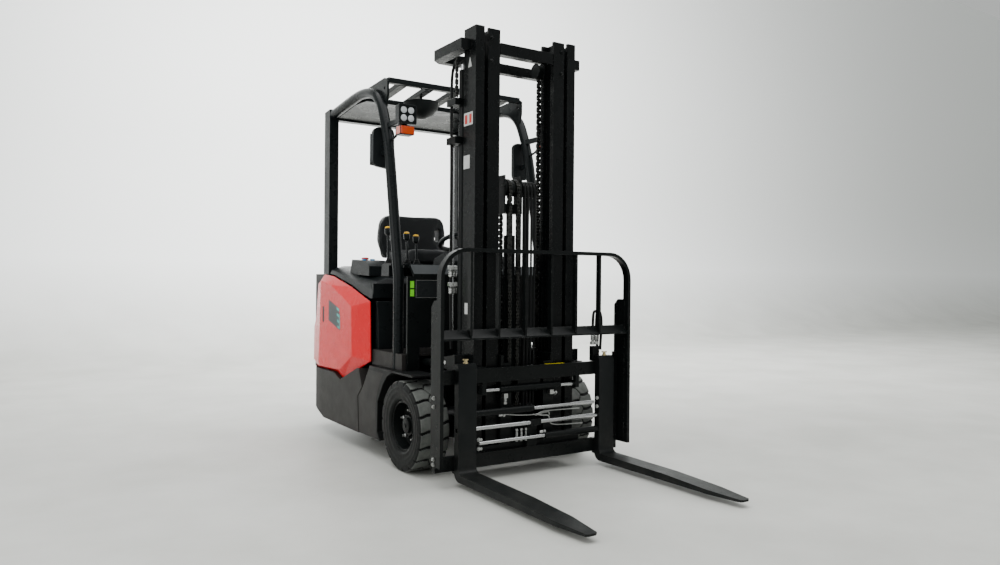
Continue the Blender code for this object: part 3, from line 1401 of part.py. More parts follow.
def forks():
    """L-shaped forks with two cylinders between them, barrel on one fork and rod on the other."""
    back = FORK_FACE_Y + FORK_THICKNESS
    foot = FORK_FOOT_Z
    tip = FORK_TIP_Y
    inner_corner = filleted(
        [(FORK_FACE_Y, 0.3), (FORK_FACE_Y, foot + FORK_THICKNESS), (tip, foot + 0.012)], [0, 0.030, 0], 4
    )
    outer_corner = filleted([(tip, foot), (back, foot), (back, 0.3)], [0, 0.045, 0], 6)
    outline = (
        [(back, FORK_TOP_Z), (FORK_FACE_Y + 0.012, FORK_TOP_Z), (FORK_FACE_Y, FORK_TOP_Z - 0.020)]
        + inner_corner[1:-1]
        + [(tip + 0.45, foot + 0.034), (tip, foot + 0.012), (tip, foot + 0.002), (tip + 0.030, foot)]
        + outer_corner[1:-1]
    )
    hook_y = [back - 0.012, FORK_HOOK_REAR_Y]
    for name, x, rod_z, barrel_z in (
        ("right", RIGHT_FORK_X, 0.190, 0.334), ("left", LEFT_FORK_X, 0.334, 0.190)
    ):
        inward = -SIDES[name]
        low, high = x - FORK_WIDTH / 2, x + FORK_WIDTH / 2
        inner_face = x + inward * FORK_WIDTH / 2
        plan = [
            (low, back + 0.1),
            (low, tip + 0.180),
            (x - 0.028, tip + 0.008),
            (x - 0.014, tip - 0.001),
            (x + 0.014, tip - 0.001),
            (x + 0.028, tip + 0.008),
            (high, tip + 0.180),
            (high, back + 0.1),
        ]
        rod_end = inner_face + inward * POSITION_ROD_LENGTH
        added = [
            box([low, high], hook_y, [UPPER_BAR_Z[1] + GAP, UPPER_BAR_Z[1] + 0.016]),
            box([low, high], hook_y, [LOWER_BAR_Z[0] - 0.014, LOWER_BAR_Z[0] - GAP]),
            box([inner_face - inward * 0.002, inner_face + inward * 0.025], [
                GUIDE_ROD_Y - 0.016, back - 0.004
            ],
                [rod_z - 0.035, rod_z + 0.035]),
            cylinder(
                (inner_face, GUIDE_ROD_Y, rod_z), (rod_end, GUIDE_ROD_Y, rod_z), POSITION_ROD_RADIUS, 16
            ),
        ]
        guide_bore = cylinder((low - 0.1, GUIDE_ROD_Y, GUIDE_ROD_Z), (
            high + 0.1, GUIDE_ROD_Y, GUIDE_ROD_Z
        ),
                              GUIDE_ROD_RADIUS + GAP, 16)
        body = f"{name}_fork"
        piece(body, body, BLACK_PAINT, prism(outline, "x", low, high), add=added, cut=[guide_bore],
              keep=[prism(plan, "z", -0.1, 0.8)])
        barrel = blind_tube((inner_face + inward * GAP, GUIDE_ROD_Y, barrel_z),
                            (inner_face + inward * POSITION_BARREL_LENGTH, GUIDE_ROD_Y, barrel_z),
                            POSITION_BARREL_RADIUS, POSITION_ROD_RADIUS + GAP, 0.020, 16)
        piece(f"{name}_positioner_cylinder", body, BLACK_PAINT, barrel)


clear_scene()
make_pivots()
front_axle()
chassis_frame()
battery()
fenders()
counterweight()
side_panels()
floor_plate()
seat_skirt()
front_cowl()
dashboard()
steering_wheel()
seat_hood()
seat()
guard_frames()
roof()
lamps_and_mirrors()
front_wheels()
rear_wheels()
outer_mast()
lift_cylinders()
middle_mast()
inner_mast()
crosshead()
tilt_cylinders()
carriage()
sideshifter()
load_backrest()
forks()
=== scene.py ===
import json
import math

import bmesh
import bpy
from mathutils import Matrix, Vector

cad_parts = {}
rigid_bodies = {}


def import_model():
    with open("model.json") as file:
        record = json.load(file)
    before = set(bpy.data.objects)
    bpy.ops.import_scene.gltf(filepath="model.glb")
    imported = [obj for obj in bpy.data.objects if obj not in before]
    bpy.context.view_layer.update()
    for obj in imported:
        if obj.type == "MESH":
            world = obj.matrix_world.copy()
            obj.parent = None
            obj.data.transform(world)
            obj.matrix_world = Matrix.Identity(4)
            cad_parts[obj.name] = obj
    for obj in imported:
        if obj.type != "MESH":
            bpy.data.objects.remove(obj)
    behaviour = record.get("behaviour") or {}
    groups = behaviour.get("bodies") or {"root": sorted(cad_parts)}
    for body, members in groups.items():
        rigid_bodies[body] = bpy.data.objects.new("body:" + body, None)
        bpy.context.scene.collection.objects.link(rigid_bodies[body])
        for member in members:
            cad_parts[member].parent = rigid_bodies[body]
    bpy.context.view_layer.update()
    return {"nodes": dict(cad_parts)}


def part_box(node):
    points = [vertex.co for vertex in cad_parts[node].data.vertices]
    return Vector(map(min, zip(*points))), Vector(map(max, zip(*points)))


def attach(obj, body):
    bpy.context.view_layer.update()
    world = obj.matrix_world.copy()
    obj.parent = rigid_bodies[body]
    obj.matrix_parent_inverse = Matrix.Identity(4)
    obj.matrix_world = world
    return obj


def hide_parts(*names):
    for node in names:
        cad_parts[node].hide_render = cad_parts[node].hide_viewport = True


for thing in list(bpy.data.objects):
    bpy.data.objects.remove(thing, do_unlink=True)

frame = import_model()
NODES = frame["nodes"]
SIDES = (("right", -1), ("left", 1))

low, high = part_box("counterweight")
CENTRE_X = 0.5 * (low.x + high.x)
low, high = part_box("right_front_tyre")
AXLE_Y = 0.5 * (low.y + high.y)


def at(x, y, z):
    """A point given from the truck's centre plane, front axle and floor."""
    return Vector((x + CENTRE_X, y + AXLE_Y, z))


# ---------------------------------------------------------------- materials

DUST = (0.20, 0.19, 0.17)
BARE_EDGE = (0.22, 0.22, 0.215)

def tree_of(name):
    material = bpy.data.materials.new(name)
    material.use_nodes = True
    tree = material.node_tree
    return material, tree, tree.nodes["Principled BSDF"]


def noise(tree, scale, detail=3.0, roughness=0.5, kind="ShaderNodeTexNoise"):
    node = tree.nodes.new(kind)
    node.inputs["Scale"].default_value = scale
    if "Detail" in node.inputs:
        node.inputs["Detail"].default_value = detail
    if "Roughness" in node.inputs:
        node.inputs["Roughness"].default_value = roughness
    coords = tree.nodes.new("ShaderNodeTexCoord")
    tree.links.new(coords.outputs["Object"], node.inputs["Vector"])
    return node


def ranged(tree, source, low_in, high_in, low_out, high_out):
    node = tree.nodes.new("ShaderNodeMapRange")
    node.inputs["From Min"].default_value = low_in
    node.inputs["From Max"].default_value = high_in
    node.inputs["To Min"].default_value = low_out
    node.inputs["To Max"].default_value = high_out
    tree.links.new(source, node.inputs["Value"])
    return node.outputs["Result"]


def blended(tree, factor, first, second):
    node = tree.nodes.new("ShaderNodeMix")
    node.data_type = "RGBA"
    tree.links.new(factor, node.inputs[0])
    for socket, value in ((node.inputs[6], first), (node.inputs[7], second)):
        if isinstance(value, tuple):
            socket.default_value = (*value, 1.0)
        else:
            tree.links.new(value, socket)
    return node.outputs[2]


def combined(tree, operation, first, second):
    node = tree.nodes.new("ShaderNodeMath")
    node.operation = operation
    tree.links.new(first, node.inputs[0])
    tree.links.new(second, node.inputs[1])
    return node.outputs[0]


def bumped(tree, shader, height, strength, distance=0.001):
    bump = tree.nodes.new("ShaderNodeBump")
    bump.inputs["Strength"].default_value = strength
    bump.inputs["Distance"].default_value = distance
    tree.links.new(height, bump.inputs["Height"])
    tree.links.new(bump.outputs[0], shader.inputs["Normal"])


def surface(name, colour, second, roughness, metallic=0.0, grain=(60.0, 0.05), texture=None, dust=0.0,
            wear=0.0, coat=0.0, mottle=4.0, specular=0.12):
    """Mottled paint, plastic or casting with uneven gloss, fine bump, floor dust and rubbed edges."""
    material, tree, shader = tree_of(name)
    shader.inputs["Metallic"].default_value = metallic
    shader.inputs["Specular IOR Level"].default_value = specular
    if coat:
        shader.inputs["Coat Weight"].default_value = coat
        shader.inputs["Coat Roughness"].default_value = 0.08
    broad = noise(tree, mottle, 5.0, 0.6)
    tint = blended(tree, ranged(tree, broad.outputs[0], 0.35, 0.65, 0.0, 1.0), colour, second)
    gloss = ranged(
        tree, noise(tree, mottle * 2.7, 4.0, 0.65).outputs[0], 0.3, 0.7, roughness - 0.06,
        roughness + 0.07
    )
    if dust:
        spot = tree.nodes.new("ShaderNodeTexCoord")
        split = tree.nodes.new("ShaderNodeSeparateXYZ")
        tree.links.new(spot.outputs["Object"], split.inputs[0])
        height = ranged(tree, split.outputs["Z"], 0.0, 0.45, dust, 0.0)
        cloud = ranged(tree, noise(tree, 9.0, 8.0, 0.7).outputs[0], 0.42, 0.68, 0.15, 1.0)
        tint = blended(tree, combined(tree, "MULTIPLY", height, cloud), tint, DUST)
    if wear:
        bevel = tree.nodes.new("ShaderNodeBevel")
        bevel.samples = 4
        bevel.inputs["Radius"].default_value = 0.003
        geometry = tree.nodes.new("ShaderNodeNewGeometry")
        turn = tree.nodes.new("ShaderNodeVectorMath")
        turn.operation = "DOT_PRODUCT"
        tree.links.new(bevel.outputs[0], turn.inputs[0])
        tree.links.new(geometry.outputs["Normal"], turn.inputs[1])
        edge = ranged(tree, turn.outputs["Value"], 0.97, 0.80, 0.0, wear)
        patch = ranged(tree, noise(tree, 40.0, 6.0, 0.7).outputs[0], 0.48, 0.62, 0.0, 1.0)
        tint = blended(tree, combined(tree, "MULTIPLY", edge, patch), tint, BARE_EDGE)
    tree.links.new(tint, shader.inputs["Base Color"])
    tree.links.new(gloss, shader.inputs["Roughness"])
    scale, strength = grain
    fine = noise(tree, scale, 3.0, 0.55) if texture is None else noise(tree, scale, kind=texture)
    bumped(tree, shader, fine.outputs[0], strength)
    return material


def metal(name, colour, second, roughness, streak=(1.0, 1.0, 1.0), scale=120.0):
    """Plated or bare metal with fine marks drawn out along one axis."""
    material, tree, shader = tree_of(name)
    shader.inputs["Metallic"].default_value = 1.0
    coords = tree.nodes.new("ShaderNodeTexCoord")
    mapping = tree.nodes.new("ShaderNodeMapping")
    mapping.inputs["Scale"].default_value = streak
    tree.links.new(coords.outputs["Object"], mapping.inputs["Vector"])
    marks = tree.nodes.new("ShaderNodeTexNoise")
    marks.inputs["Scale"].default_value = scale
    marks.inputs["Detail"].default_value = 4.0
    tree.links.new(mapping.outputs[0], marks.inputs["Vector"])
    tree.links.new(blended(tree, ranged(tree, marks.outputs[0], 0.35, 0.65, 0.0, 1.0), colour, second),
                   shader.inputs["Base Color"])
    tree.links.new(ranged(tree, marks.outputs[0], 0.3, 0.7, roughness - 0.05, roughness + 0.10),
                   shader.inputs["Roughness"])
    bumped(tree, shader, marks.outputs[0], 0.06, 0.0005)
    return material


BLACK = surface("satin_black_paint", (0.0030, 0.0040, 0.0040), (0.0048, 0.0060, 0.0060),
                0.30, 0.0, (900.0, 0.10), dust=0.03, wear=0.30)
MAST_BLACK = surface("mast_paint", (0.0026, 0.0032, 0.0033), (0.0042, 0.0050, 0.0051),
                     0.27, 0.0, (700.0, 0.12), dust=0.02, wear=0.30)
FORK_BLACK = surface("fork_paint", (0.0040, 0.0052, 0.0053), (0.0068, 0.0082, 0.0083),
                     0.36, 0.0, (500.0, 0.18), dust=0.06, wear=0.50)
GUARD_BLACK = surface("guard_powder_coat", (0.0050, 0.0068, 0.0072), (0.0072, 0.0092, 0.0096), 0.28, 0.0,
                      (1100.0, 0.10), dust=0.02, wear=0.15)
RED = surface("gloss_red_paint", (0.640, 0.0004, 0.0060), (0.680, 0.0008, 0.0085), 0.26, 0.0, (1300.0, 0.02),
              coat=0.06, specular=0.22)
CASTING = surface("warm_grey_casting", (0.0215, 0.0200, 0.0188), (0.0275, 0.0256, 0.0240),
                  0.50, 0.0, (420.0, 0.40), dust=0.03, wear=0.10)
FENDER_GREY = surface("warm_grey_moulding", (0.0190, 0.0178, 0.0168), (0.0240, 0.0224, 0.0212), 0.46, 0.0,
                      (900.0, 0.25), dust=0.03)
PLASTIC = surface("grained_plastic", (0.0068, 0.0086, 0.0092), (0.0095, 0.0118, 0.0124),
                  0.32, 0.0, (1400.0, 0.25), texture="ShaderNodeTexVoronoi")
CAP_GREY = surface(
    "cap_plastic", (0.0200, 0.0240, 0.0258), (0.0250, 0.0300, 0.0320), 0.40, 0.0, (1200.0, 0.25)
)
VINYL = surface("seat_vinyl", (0.0068, 0.0080, 0.0088), (0.0096, 0.0112, 0.0120), 0.40, 0.0, (750.0, 0.50),
                texture="ShaderNodeTexVoronoi")
RUBBER = surface("tyre_rubber", (0.0042, 0.0050, 0.0048), (0.0066, 0.0074, 0.0072), 0.50, 0.0, (320.0, 0.30),
                 dust=0.02, mottle=14.0)
TREAD = surface("tread_rubber", (0.0800, 0.0860, 0.0800), (0.1150, 0.1220, 0.1130), 0.62, 0.0, (260.0, 0.45),
                mottle=30.0)
HOSE = surface(
    "hydraulic_hose", (0.0058, 0.0064, 0.0066), (0.0095, 0.0102, 0.0104), 0.42, 0.0, (900.0, 0.4)
)
CHAIN = metal("oiled_chain", (0.022, 0.023, 0.023), (0.060, 0.060, 0.056), 0.36, scale=60.0)
CHROME = metal("chromed_rod", (0.560, 0.565, 0.570), (0.420, 0.425, 0.430), 0.18, (1.0, 1.0, 14.0), 90.0)
CHROME_X = metal(
    "chromed_cross_rod", (0.560, 0.565, 0.570), (0.400, 0.405, 0.410), 0.20, (14.0, 1.0, 1.0), 90.0
)
ZINC = metal("zinc_plate", (0.480, 0.490, 0.480), (0.320, 0.325, 0.315), 0.32, scale=200.0)
BRASS = metal("yellow_zinc", (0.640, 0.520, 0.290), (0.480, 0.400, 0.230), 0.32, scale=180.0)
YELLOW = surface(
    "yellow_plastic", (0.750, 0.430, 0.010), (0.700, 0.390, 0.010), 0.36, 0.0, (900.0, 0.05)
)
YELLOW_LABEL = surface(
    "yellow_label", (0.750, 0.610, 0.010), (0.700, 0.560, 0.010), 0.40, 0.0, (600.0, 0.03)
)
WHITE_LABEL = surface(
    "white_label", (0.560, 0.570, 0.560), (0.480, 0.490, 0.480), 0.42, 0.0, (600.0, 0.03), mottle=25.0
)
RED_LABEL = surface("red_label", (0.420, 0.040, 0.040), (0.500, 0.060, 0.050), 0.42, 0.0, (600.0, 0.03))
GREEN_LABEL = surface(
    "green_label", (0.150, 0.640, 0.015), (0.180, 0.700, 0.030), 0.42, 0.0, (600.0, 0.03)
)
PLATE_DARK = surface(
    "plate_dark", (0.0110, 0.0130, 0.0140), (0.0150, 0.0170, 0.0180), 0.30, 0.0, (600.0, 0.03)
)
DECAL_GREY = surface(
    "decal_grey", (0.0480, 0.0560, 0.0600), (0.0580, 0.0660, 0.0700), 0.36, 0.0, (600.0, 0.02)
)
TEAL = surface("decal_teal", (0.080, 0.460, 0.430), (0.100, 0.520, 0.480), 0.36, 0.0, (600.0, 0.02))
RED_BUTTON = surface(
    "red_button", (0.480, 0.030, 0.020), (0.540, 0.040, 0.025), 0.32, 0.0, (600.0, 0.02)
)
BLUE_BUTTON = surface(
    "blue_button", (0.020, 0.220, 0.480), (0.020, 0.260, 0.540), 0.34, 0.0, (600.0, 0.02)
)


def lens_material(name, colour, roughness, transmission, glow=0.0):
    material, tree, shader = tree_of(name)
    cells = noise(tree, 260.0, kind="ShaderNodeTexVoronoi")
    tree.links.new(blended(tree, ranged(tree, cells.outputs[0], 0.0, 0.8, 0.0, 0.5), colour,
                           tuple(0.8 * c for c in colour)), shader.inputs["Base Color"])
    shader.inputs["Roughness"].default_value = roughness
    shader.inputs["Transmission Weight"].default_value = transmission
    shader.inputs["Coat Weight"].default_value = 0.8
    shader.inputs["Coat Roughness"].default_value = 0.05
    if glow:
        shader.inputs["Emission Color"].default_value = (*colour, 1.0)
        shader.inputs["Emission Strength"].default_value = glow
    bumped(tree, shader, cells.outputs[0], 0.3)
    return material


LENS = lens_material("clear_lens", (0.62, 0.65, 0.68), 0.12, 0.0)
AMBER = lens_material("amber_lens", (0.62, 0.060, 0.006), 0.18, 0.0)
MIRROR_GLASS = metal("mirror_glass", (0.72, 0.75, 0.77), (0.68, 0.71, 0.73), 0.06, scale=4.0)



ARCH_LIP = 0.328
FENDER_CROWN_Z = 0.470
FRONT_WHEEL_Z = 0.233
EDGE_BLEND = 0.001


def masked_fender():
    """Warm grey moulding with black on its top and round the wheel arch."""
    material = FENDER_GREY.copy()
    material.name = "fender_two_tone"
    tree = material.node_tree
    shader = tree.nodes["Principled BSDF"]
    base = shader.inputs["Base Color"].links[0].from_socket
    place = tree.nodes.new("ShaderNodeTexCoord")
    split = tree.nodes.new("ShaderNodeSeparateXYZ")
    tree.links.new(place.outputs["Object"], split.inputs[0])
    centre = at(0, 0, FRONT_WHEEL_Z)
    offset = tree.nodes.new("ShaderNodeVectorMath")
    offset.operation = "SUBTRACT"
    tree.links.new(place.outputs["Object"], offset.inputs[0])
    offset.inputs[1].default_value = centre
    flat = tree.nodes.new("ShaderNodeVectorMath")
    flat.operation = "MULTIPLY"
    tree.links.new(offset.outputs[0], flat.inputs[0])
    flat.inputs[1].default_value = (0.0, 1.0, 1.0)
    reach = tree.nodes.new("ShaderNodeVectorMath")
    reach.operation = "LENGTH"
    tree.links.new(flat.outputs[0], reach.inputs[0])
    lip = ranged(tree, reach.outputs["Value"], ARCH_LIP, ARCH_LIP + EDGE_BLEND, 1.0, 0.0)
    crown = ranged(tree, split.outputs["Z"], FENDER_CROWN_Z, FENDER_CROWN_Z + EDGE_BLEND, 0.0, 1.0)
    either = combined(tree, "MAXIMUM", lip, crown)
    tree.links.new(
        blended(tree, either, base, (0.0058, 0.0064, 0.0064)), shader.inputs["Base Color"]
    )
    return material


FENDER_TWO_TONE = masked_fender()

# ---------------------------------------------------------------- carried-over CAD nodes


def smoothing_group(limit):
    """Geometry nodes that shade smooth across edges turning by less than a limit in degrees."""
    group = bpy.data.node_groups.new(f"smooth_by_angle_{limit}", "GeometryNodeTree")
    group.interface.new_socket("Geometry", in_out="INPUT", socket_type="NodeSocketGeometry")
    group.interface.new_socket("Geometry", in_out="OUTPUT", socket_type="NodeSocketGeometry")
    source = group.nodes.new("NodeGroupInput")
    sink = group.nodes.new("NodeGroupOutput")
    current = source.outputs[0]
    for name in ("custom_normal", "sharp_edge", "sharp_face"):
        remove = group.nodes.new("GeometryNodeRemoveAttribute")
        remove.inputs["Name"].default_value = name
        group.links.new(current, remove.inputs[0])
        current = remove.outputs[0]
    angle = group.nodes.new("GeometryNodeInputMeshEdgeAngle")
    compare = group.nodes.new("FunctionNodeCompare")
    compare.data_type = "FLOAT"
    compare.operation = "LESS_THAN"
    compare.inputs[1].default_value = math.radians(limit)
    group.links.new(angle.outputs[0], compare.inputs[0])
    edges = group.nodes.new("GeometryNodeSetShadeSmooth")
    edges.domain = "EDGE"
    group.links.new(current, edges.inputs[0])
    group.links.new(compare.outputs[0], edges.inputs["Shade Smooth"])
    faces = group.nodes.new("GeometryNodeSetShadeSmooth")
    faces.domain = "FACE"
    group.links.new(edges.outputs[0], faces.inputs[0])
    group.links.new(faces.outputs[0], sink.inputs[0])
    return group


SMOOTHING = smoothing_group(35)
FACETED = smoothing_group(7)


def finish_node(name, material, bevel, facets=False):
    node = NODES[name]
    node.data.materials.clear()
    node.data.materials.append(material)
    weld = node.modifiers.new("weld", "WELD")
    weld.merge_threshold = 0.00001
    flatten = node.modifiers.new("flatten", "DECIMATE")
    flatten.decimate_type = "DISSOLVE"
    flatten.angle_limit = math.radians(0.6)
    smooth = node.modifiers.new("smooth", "NODES")
    smooth.node_group = FACETED if facets else SMOOTHING
    if bevel:
        edge = node.modifiers.new("edge", "BEVEL")
        edge.width = bevel
        edge.segments = 2
        edge.limit_method = "ANGLE"
        edge.angle_limit = math.radians(7 if facets else 32)
        edge.use_clamp_overlap = True
        edge.harden_normals = True


NODE_FINISH = {
    "battery": (PLASTIC, 0.003),
    "carriage": (BLACK, 0.0012),
    "chassis_frame": (BLACK, 0.0015),
    "counterweight": (CASTING, 0.006),
    "crosshead": (BLACK, 0.0008),
    "dashboard": (PLASTIC, 0.004),
    "floor_plate": (FENDER_GREY, 0.0015),
    "free_lift_cylinder": (BLACK, 0.001),
    "front_axle": (BLACK, 0.002),
    "front_cowl": (BLACK, 0.0015),
    "inner_mast": (MAST_BLACK, 0.0012),
    "interior_mirror": (PLASTIC, 0.002),
    "lever_console": (PLASTIC, 0.0012),
    "load_backrest": (BLACK, 0.0012),
    "middle_mast": (MAST_BLACK, 0.0015),
    "outer_mast": (MAST_BLACK, 0.0015),
    "rear_hub": (BLACK, 0.001),
    "roof_grille": (GUARD_BLACK, 0.0015),
    "roof_panel": (GUARD_BLACK, 0.002),
    "seat_hood": (PLASTIC, 0.006),
    "seat_skirt": (PLASTIC, 0.003),
    "sideshift_cylinder": (BLACK, 0.001),
    "sideshifter": (BLACK, 0.0012),
    "steer_yoke": (BLACK, 0.0012),
    "steering_wheel": (PLASTIC, 0.0),
    "seat_cushion": (VINYL, 0.01),
    "seat_back": (VINYL, 0.01),
    "right_rear_tyre": (RUBBER, 0.0),
    "left_rear_tyre": (RUBBER, 0.0),
}
PAIR_FINISH = {
    "fender": (FENDER_TWO_TONE, 0.004),
    "fork": (FORK_BLACK, 0.002),
    "front_rim": (BLACK, 0.0012),
    "front_tyre": (RUBBER, 0.0),
    "guard_frame": (GUARD_BLACK, 0.0012),
    "headlamp": (PLASTIC, 0.004),
    "lift_cylinder": (BLACK, 0.001),
    "lift_rod": (CHROME, 0.001),
    "mirror": (PLASTIC, 0.006),
    "positioner_cylinder": (BLACK, 0.0008),
    "side_panel": (RED, 0.004, True),
    "tilt_cylinder": (BLACK, 0.001),
    "tilt_rod": (CHROME, 0.0008),
}
for name, finish in NODE_FINISH.items():
    finish_node(name, *finish)
for name, finish in PAIR_FINISH.items():
    for side, _ in SIDES:
        finish_node(f"{side}_{name}", *finish)

# ---------------------------------------------------------------- piece makers


def keep(name, shape, material, body, bevel=0.0, smooth=35.0):
    """Turns a bmesh in the model's frame into a piece that rides on a body."""
    bmesh.ops.recalc_face_normals(shape, faces=shape.faces)
    mesh = bpy.data.meshes.new(name)
    shape.to_mesh(mesh)
    shape.free()
    thing = bpy.data.objects.new(name, mesh)
    bpy.context.scene.collection.objects.link(thing)
    for entry in material if isinstance(material, (list, tuple)) else (material,):
        mesh.materials.append(entry)
    mesh.shade_smooth()
    mesh.set_sharp_from_angle(angle=math.radians(smooth))
    if bevel:
        edge = thing.modifiers.new("edge", "BEVEL")
        edge.width = bevel
        edge.segments = 2
        edge.limit_method = "ANGLE"
        edge.angle_limit = math.radians(32)
        edge.harden_normals = True
    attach(thing, body)
    return thing


def add_prism(shape, points, along):
    """Extrudes a ring of points by a vector inside an existing bmesh."""
    first = [shape.verts.new(p) for p in points]
    second = [shape.verts.new(Vector(p) + along) for p in points]
    count = len(points)
    for i in range(count):
        j = (i + 1) % count
        shape.faces.new((first[i], first[j], second[j], second[i]))
    shape.faces.new(first[::-1])
    shape.faces.new(second)


def add_box(shape, start, end):
    x0, y0, z0 = (min(a, b) for a, b in zip(start, end))
    x1, y1, z1 = (max(a, b) for a, b in zip(start, end))
    ring = [Vector((x0, y0, z0)), Vector((x1, y0, z0)), Vector((x1, y1, z0)), Vector((x0, y1, z0))]
    add_prism(shape, ring, Vector((0, 0, z1 - z0)))


def frame_of(along):
    along = Vector(along).normalized()
    helper = Vector((0, 0, 1)) if abs(along.z) < 0.9 else Vector((1, 0, 0))
    first = along.cross(helper).normalized()
    return along, first, along.cross(first)


def add_turned(shape, start, along, profile, sides):
    """A closed turned solid from (distance, radius) pairs, capped at both ends."""
    along, first, second = frame_of(along)
    rings = []
    for distance, radius in profile:
        centre = Vector(start) + along * distance
        rings.append([
            shape.verts.new(centre + radius * (math.cos(2 * math.pi * i / sides) * first
                                               + math.sin(2 * math.pi * i / sides) * second))
            for i in range(sides)
        ])
    for lower, upper in zip(rings, rings[1:]):
        for i in range(sides):
            j = (i + 1) % sides
            shape.faces.new((lower[i], lower[j], upper[j], upper[i]))
    shape.faces.new(rings[0][::-1])
    shape.faces.new(rings[-1])


def add_bolt(shape, spot, along, size=0.009, washer=True):
    """A hexagon head on its washer, standing on a face."""
    along = Vector(along).normalized()
    if washer:
        add_turned(
            shape, Vector(spot) - along * 0.0005, along, [(0, size * 1.25), (0.0025, size * 1.25)], 20
        )
    add_turned(shape, Vector(spot) + along * 0.001, along,
               [(0, size), (size * 0.75, size), (size * 0.95, size * 0.82)], 6)
    add_turned(
        shape, Vector(spot) + along * 0.001, along, [(0, size * 0.5), (size * 1.25, size * 0.45)], 12
    )


def curve_through(points, steps=10):
    """Points on a Catmull-Rom curve through the given points."""
    points = [Vector(p) for p in points]
    ends = [2 * points[0] - points[1]] + points + [2 * points[-1] - points[-2]]
    found = []
    for a, b, c, d in zip(ends, ends[1:], ends[2:], ends[3:]):
        for i in range(steps):
            t = i / steps
            found.append(0.5 * (2 * b + (c - a) * t + (2 * a - 5 * b + 4 * c - d) * t**2
                                + (3 * b - a - 3 * c + d) * t**3))
    return found + [points[-1]]


def add_pipe(shape, path, radius, sides=10):
    """A round pipe along a path, with its rings carried without twist."""
    path = [Vector(p) for p in path]
    tangents = [
        (path[min(i + 1, len(path) - 1)] - path[max(i - 1, 0)]).normalized()
        for i in range(len(path))
    ]
    _, first, _ = frame_of(tangents[0])
    rings = []
    for spot, tangent in zip(path, tangents):
        first = (first - tangent * first.dot(tangent)).normalized()
        second = tangent.cross(first)
        rings.append([
            shape.verts.new(spot + radius * (math.cos(2 * math.pi * k / sides) * first
                                             + math.sin(2 * math.pi * k / sides) * second))
            for k in range(sides)
        ])
    for lower, upper in zip(rings, rings[1:]):
        for k in range(sides):
            j = (k + 1) % sides
            shape.faces.new((lower[k], lower[j], upper[j], upper[k]))
    shape.faces.new(rings[0][::-1])
    shape.faces.new(rings[-1])


def hose(name, points, radius, body, material=HOSE, steps=10):
    shape = bmesh.new()
    add_pipe(shape, curve_through(points, steps), radius)
    return keep(name, shape, material, body, smooth=60)


def add_fitting(shape, start, along, radius):
    """A crimped hose end: ferrule with rings, then a hexagon nut."""
    r = radius
    add_turned(shape, start, along,
               [(0, r * 1.1), (r * 0.6, r * 1.45), (r * 1.2, r * 1.2), (r * 1.8, r * 1.45),
                (r * 2.4, r * 1.2), (r * 3.0, r * 1.45), (r * 3.4, r * 0.9), (r * 4.4, r * 0.9)], 14)
    add_turned(shape, Vector(start) + Vector(along).normalized() * r * 3.9, along,
               [(0, r * 1.7), (r * 1.8, r * 1.7), (r * 2.0, r * 1.4)], 6)


def label(name, points, outward, material, body, thickness=0.0006):
    """A thin blank sticker on a face."""
    shape = bmesh.new()
    add_prism(shape, points, Vector(outward).normalized() * thickness)
    return keep(name, shape, material, body)


def rectangle(centre, across, up, width, height):
    centre, across, up = Vector(centre), Vector(across).normalized(), Vector(up).normalized()
    corners = ((-1, -1), (1, -1), (1, 1), (-1, 1))
    return [centre + across * width * a / 2 + up * height * b / 2 for a, b in corners]


# ---------------------------------------------------------------- wheels

TREAD_PITCHES = 18


def groove_depth(turn, across, depth):
    """Depth of the tread's grooves: a zigzag round the middle with a groove out to each shoulder."""
    place = turn * TREAD_PITCHES
    phase = place % 1.0
    zigzag = 0.13 * (4 * abs(phase - 0.5) - 1)
    wobble = 0.07 * math.sin(across * 5.0)
    middle = abs(across - zigzag)
    half_step = 0.5 if across > zigzag else 0.0
    gap = abs((phase + wobble + half_step) % 1.0 - 0.5)
    nearest = max(1 - max(0.0, middle - 0.018) / 0.020, 1 - max(0.0, gap - 0.050) / 0.055)
    return depth * min(1.0, max(0.0, nearest))


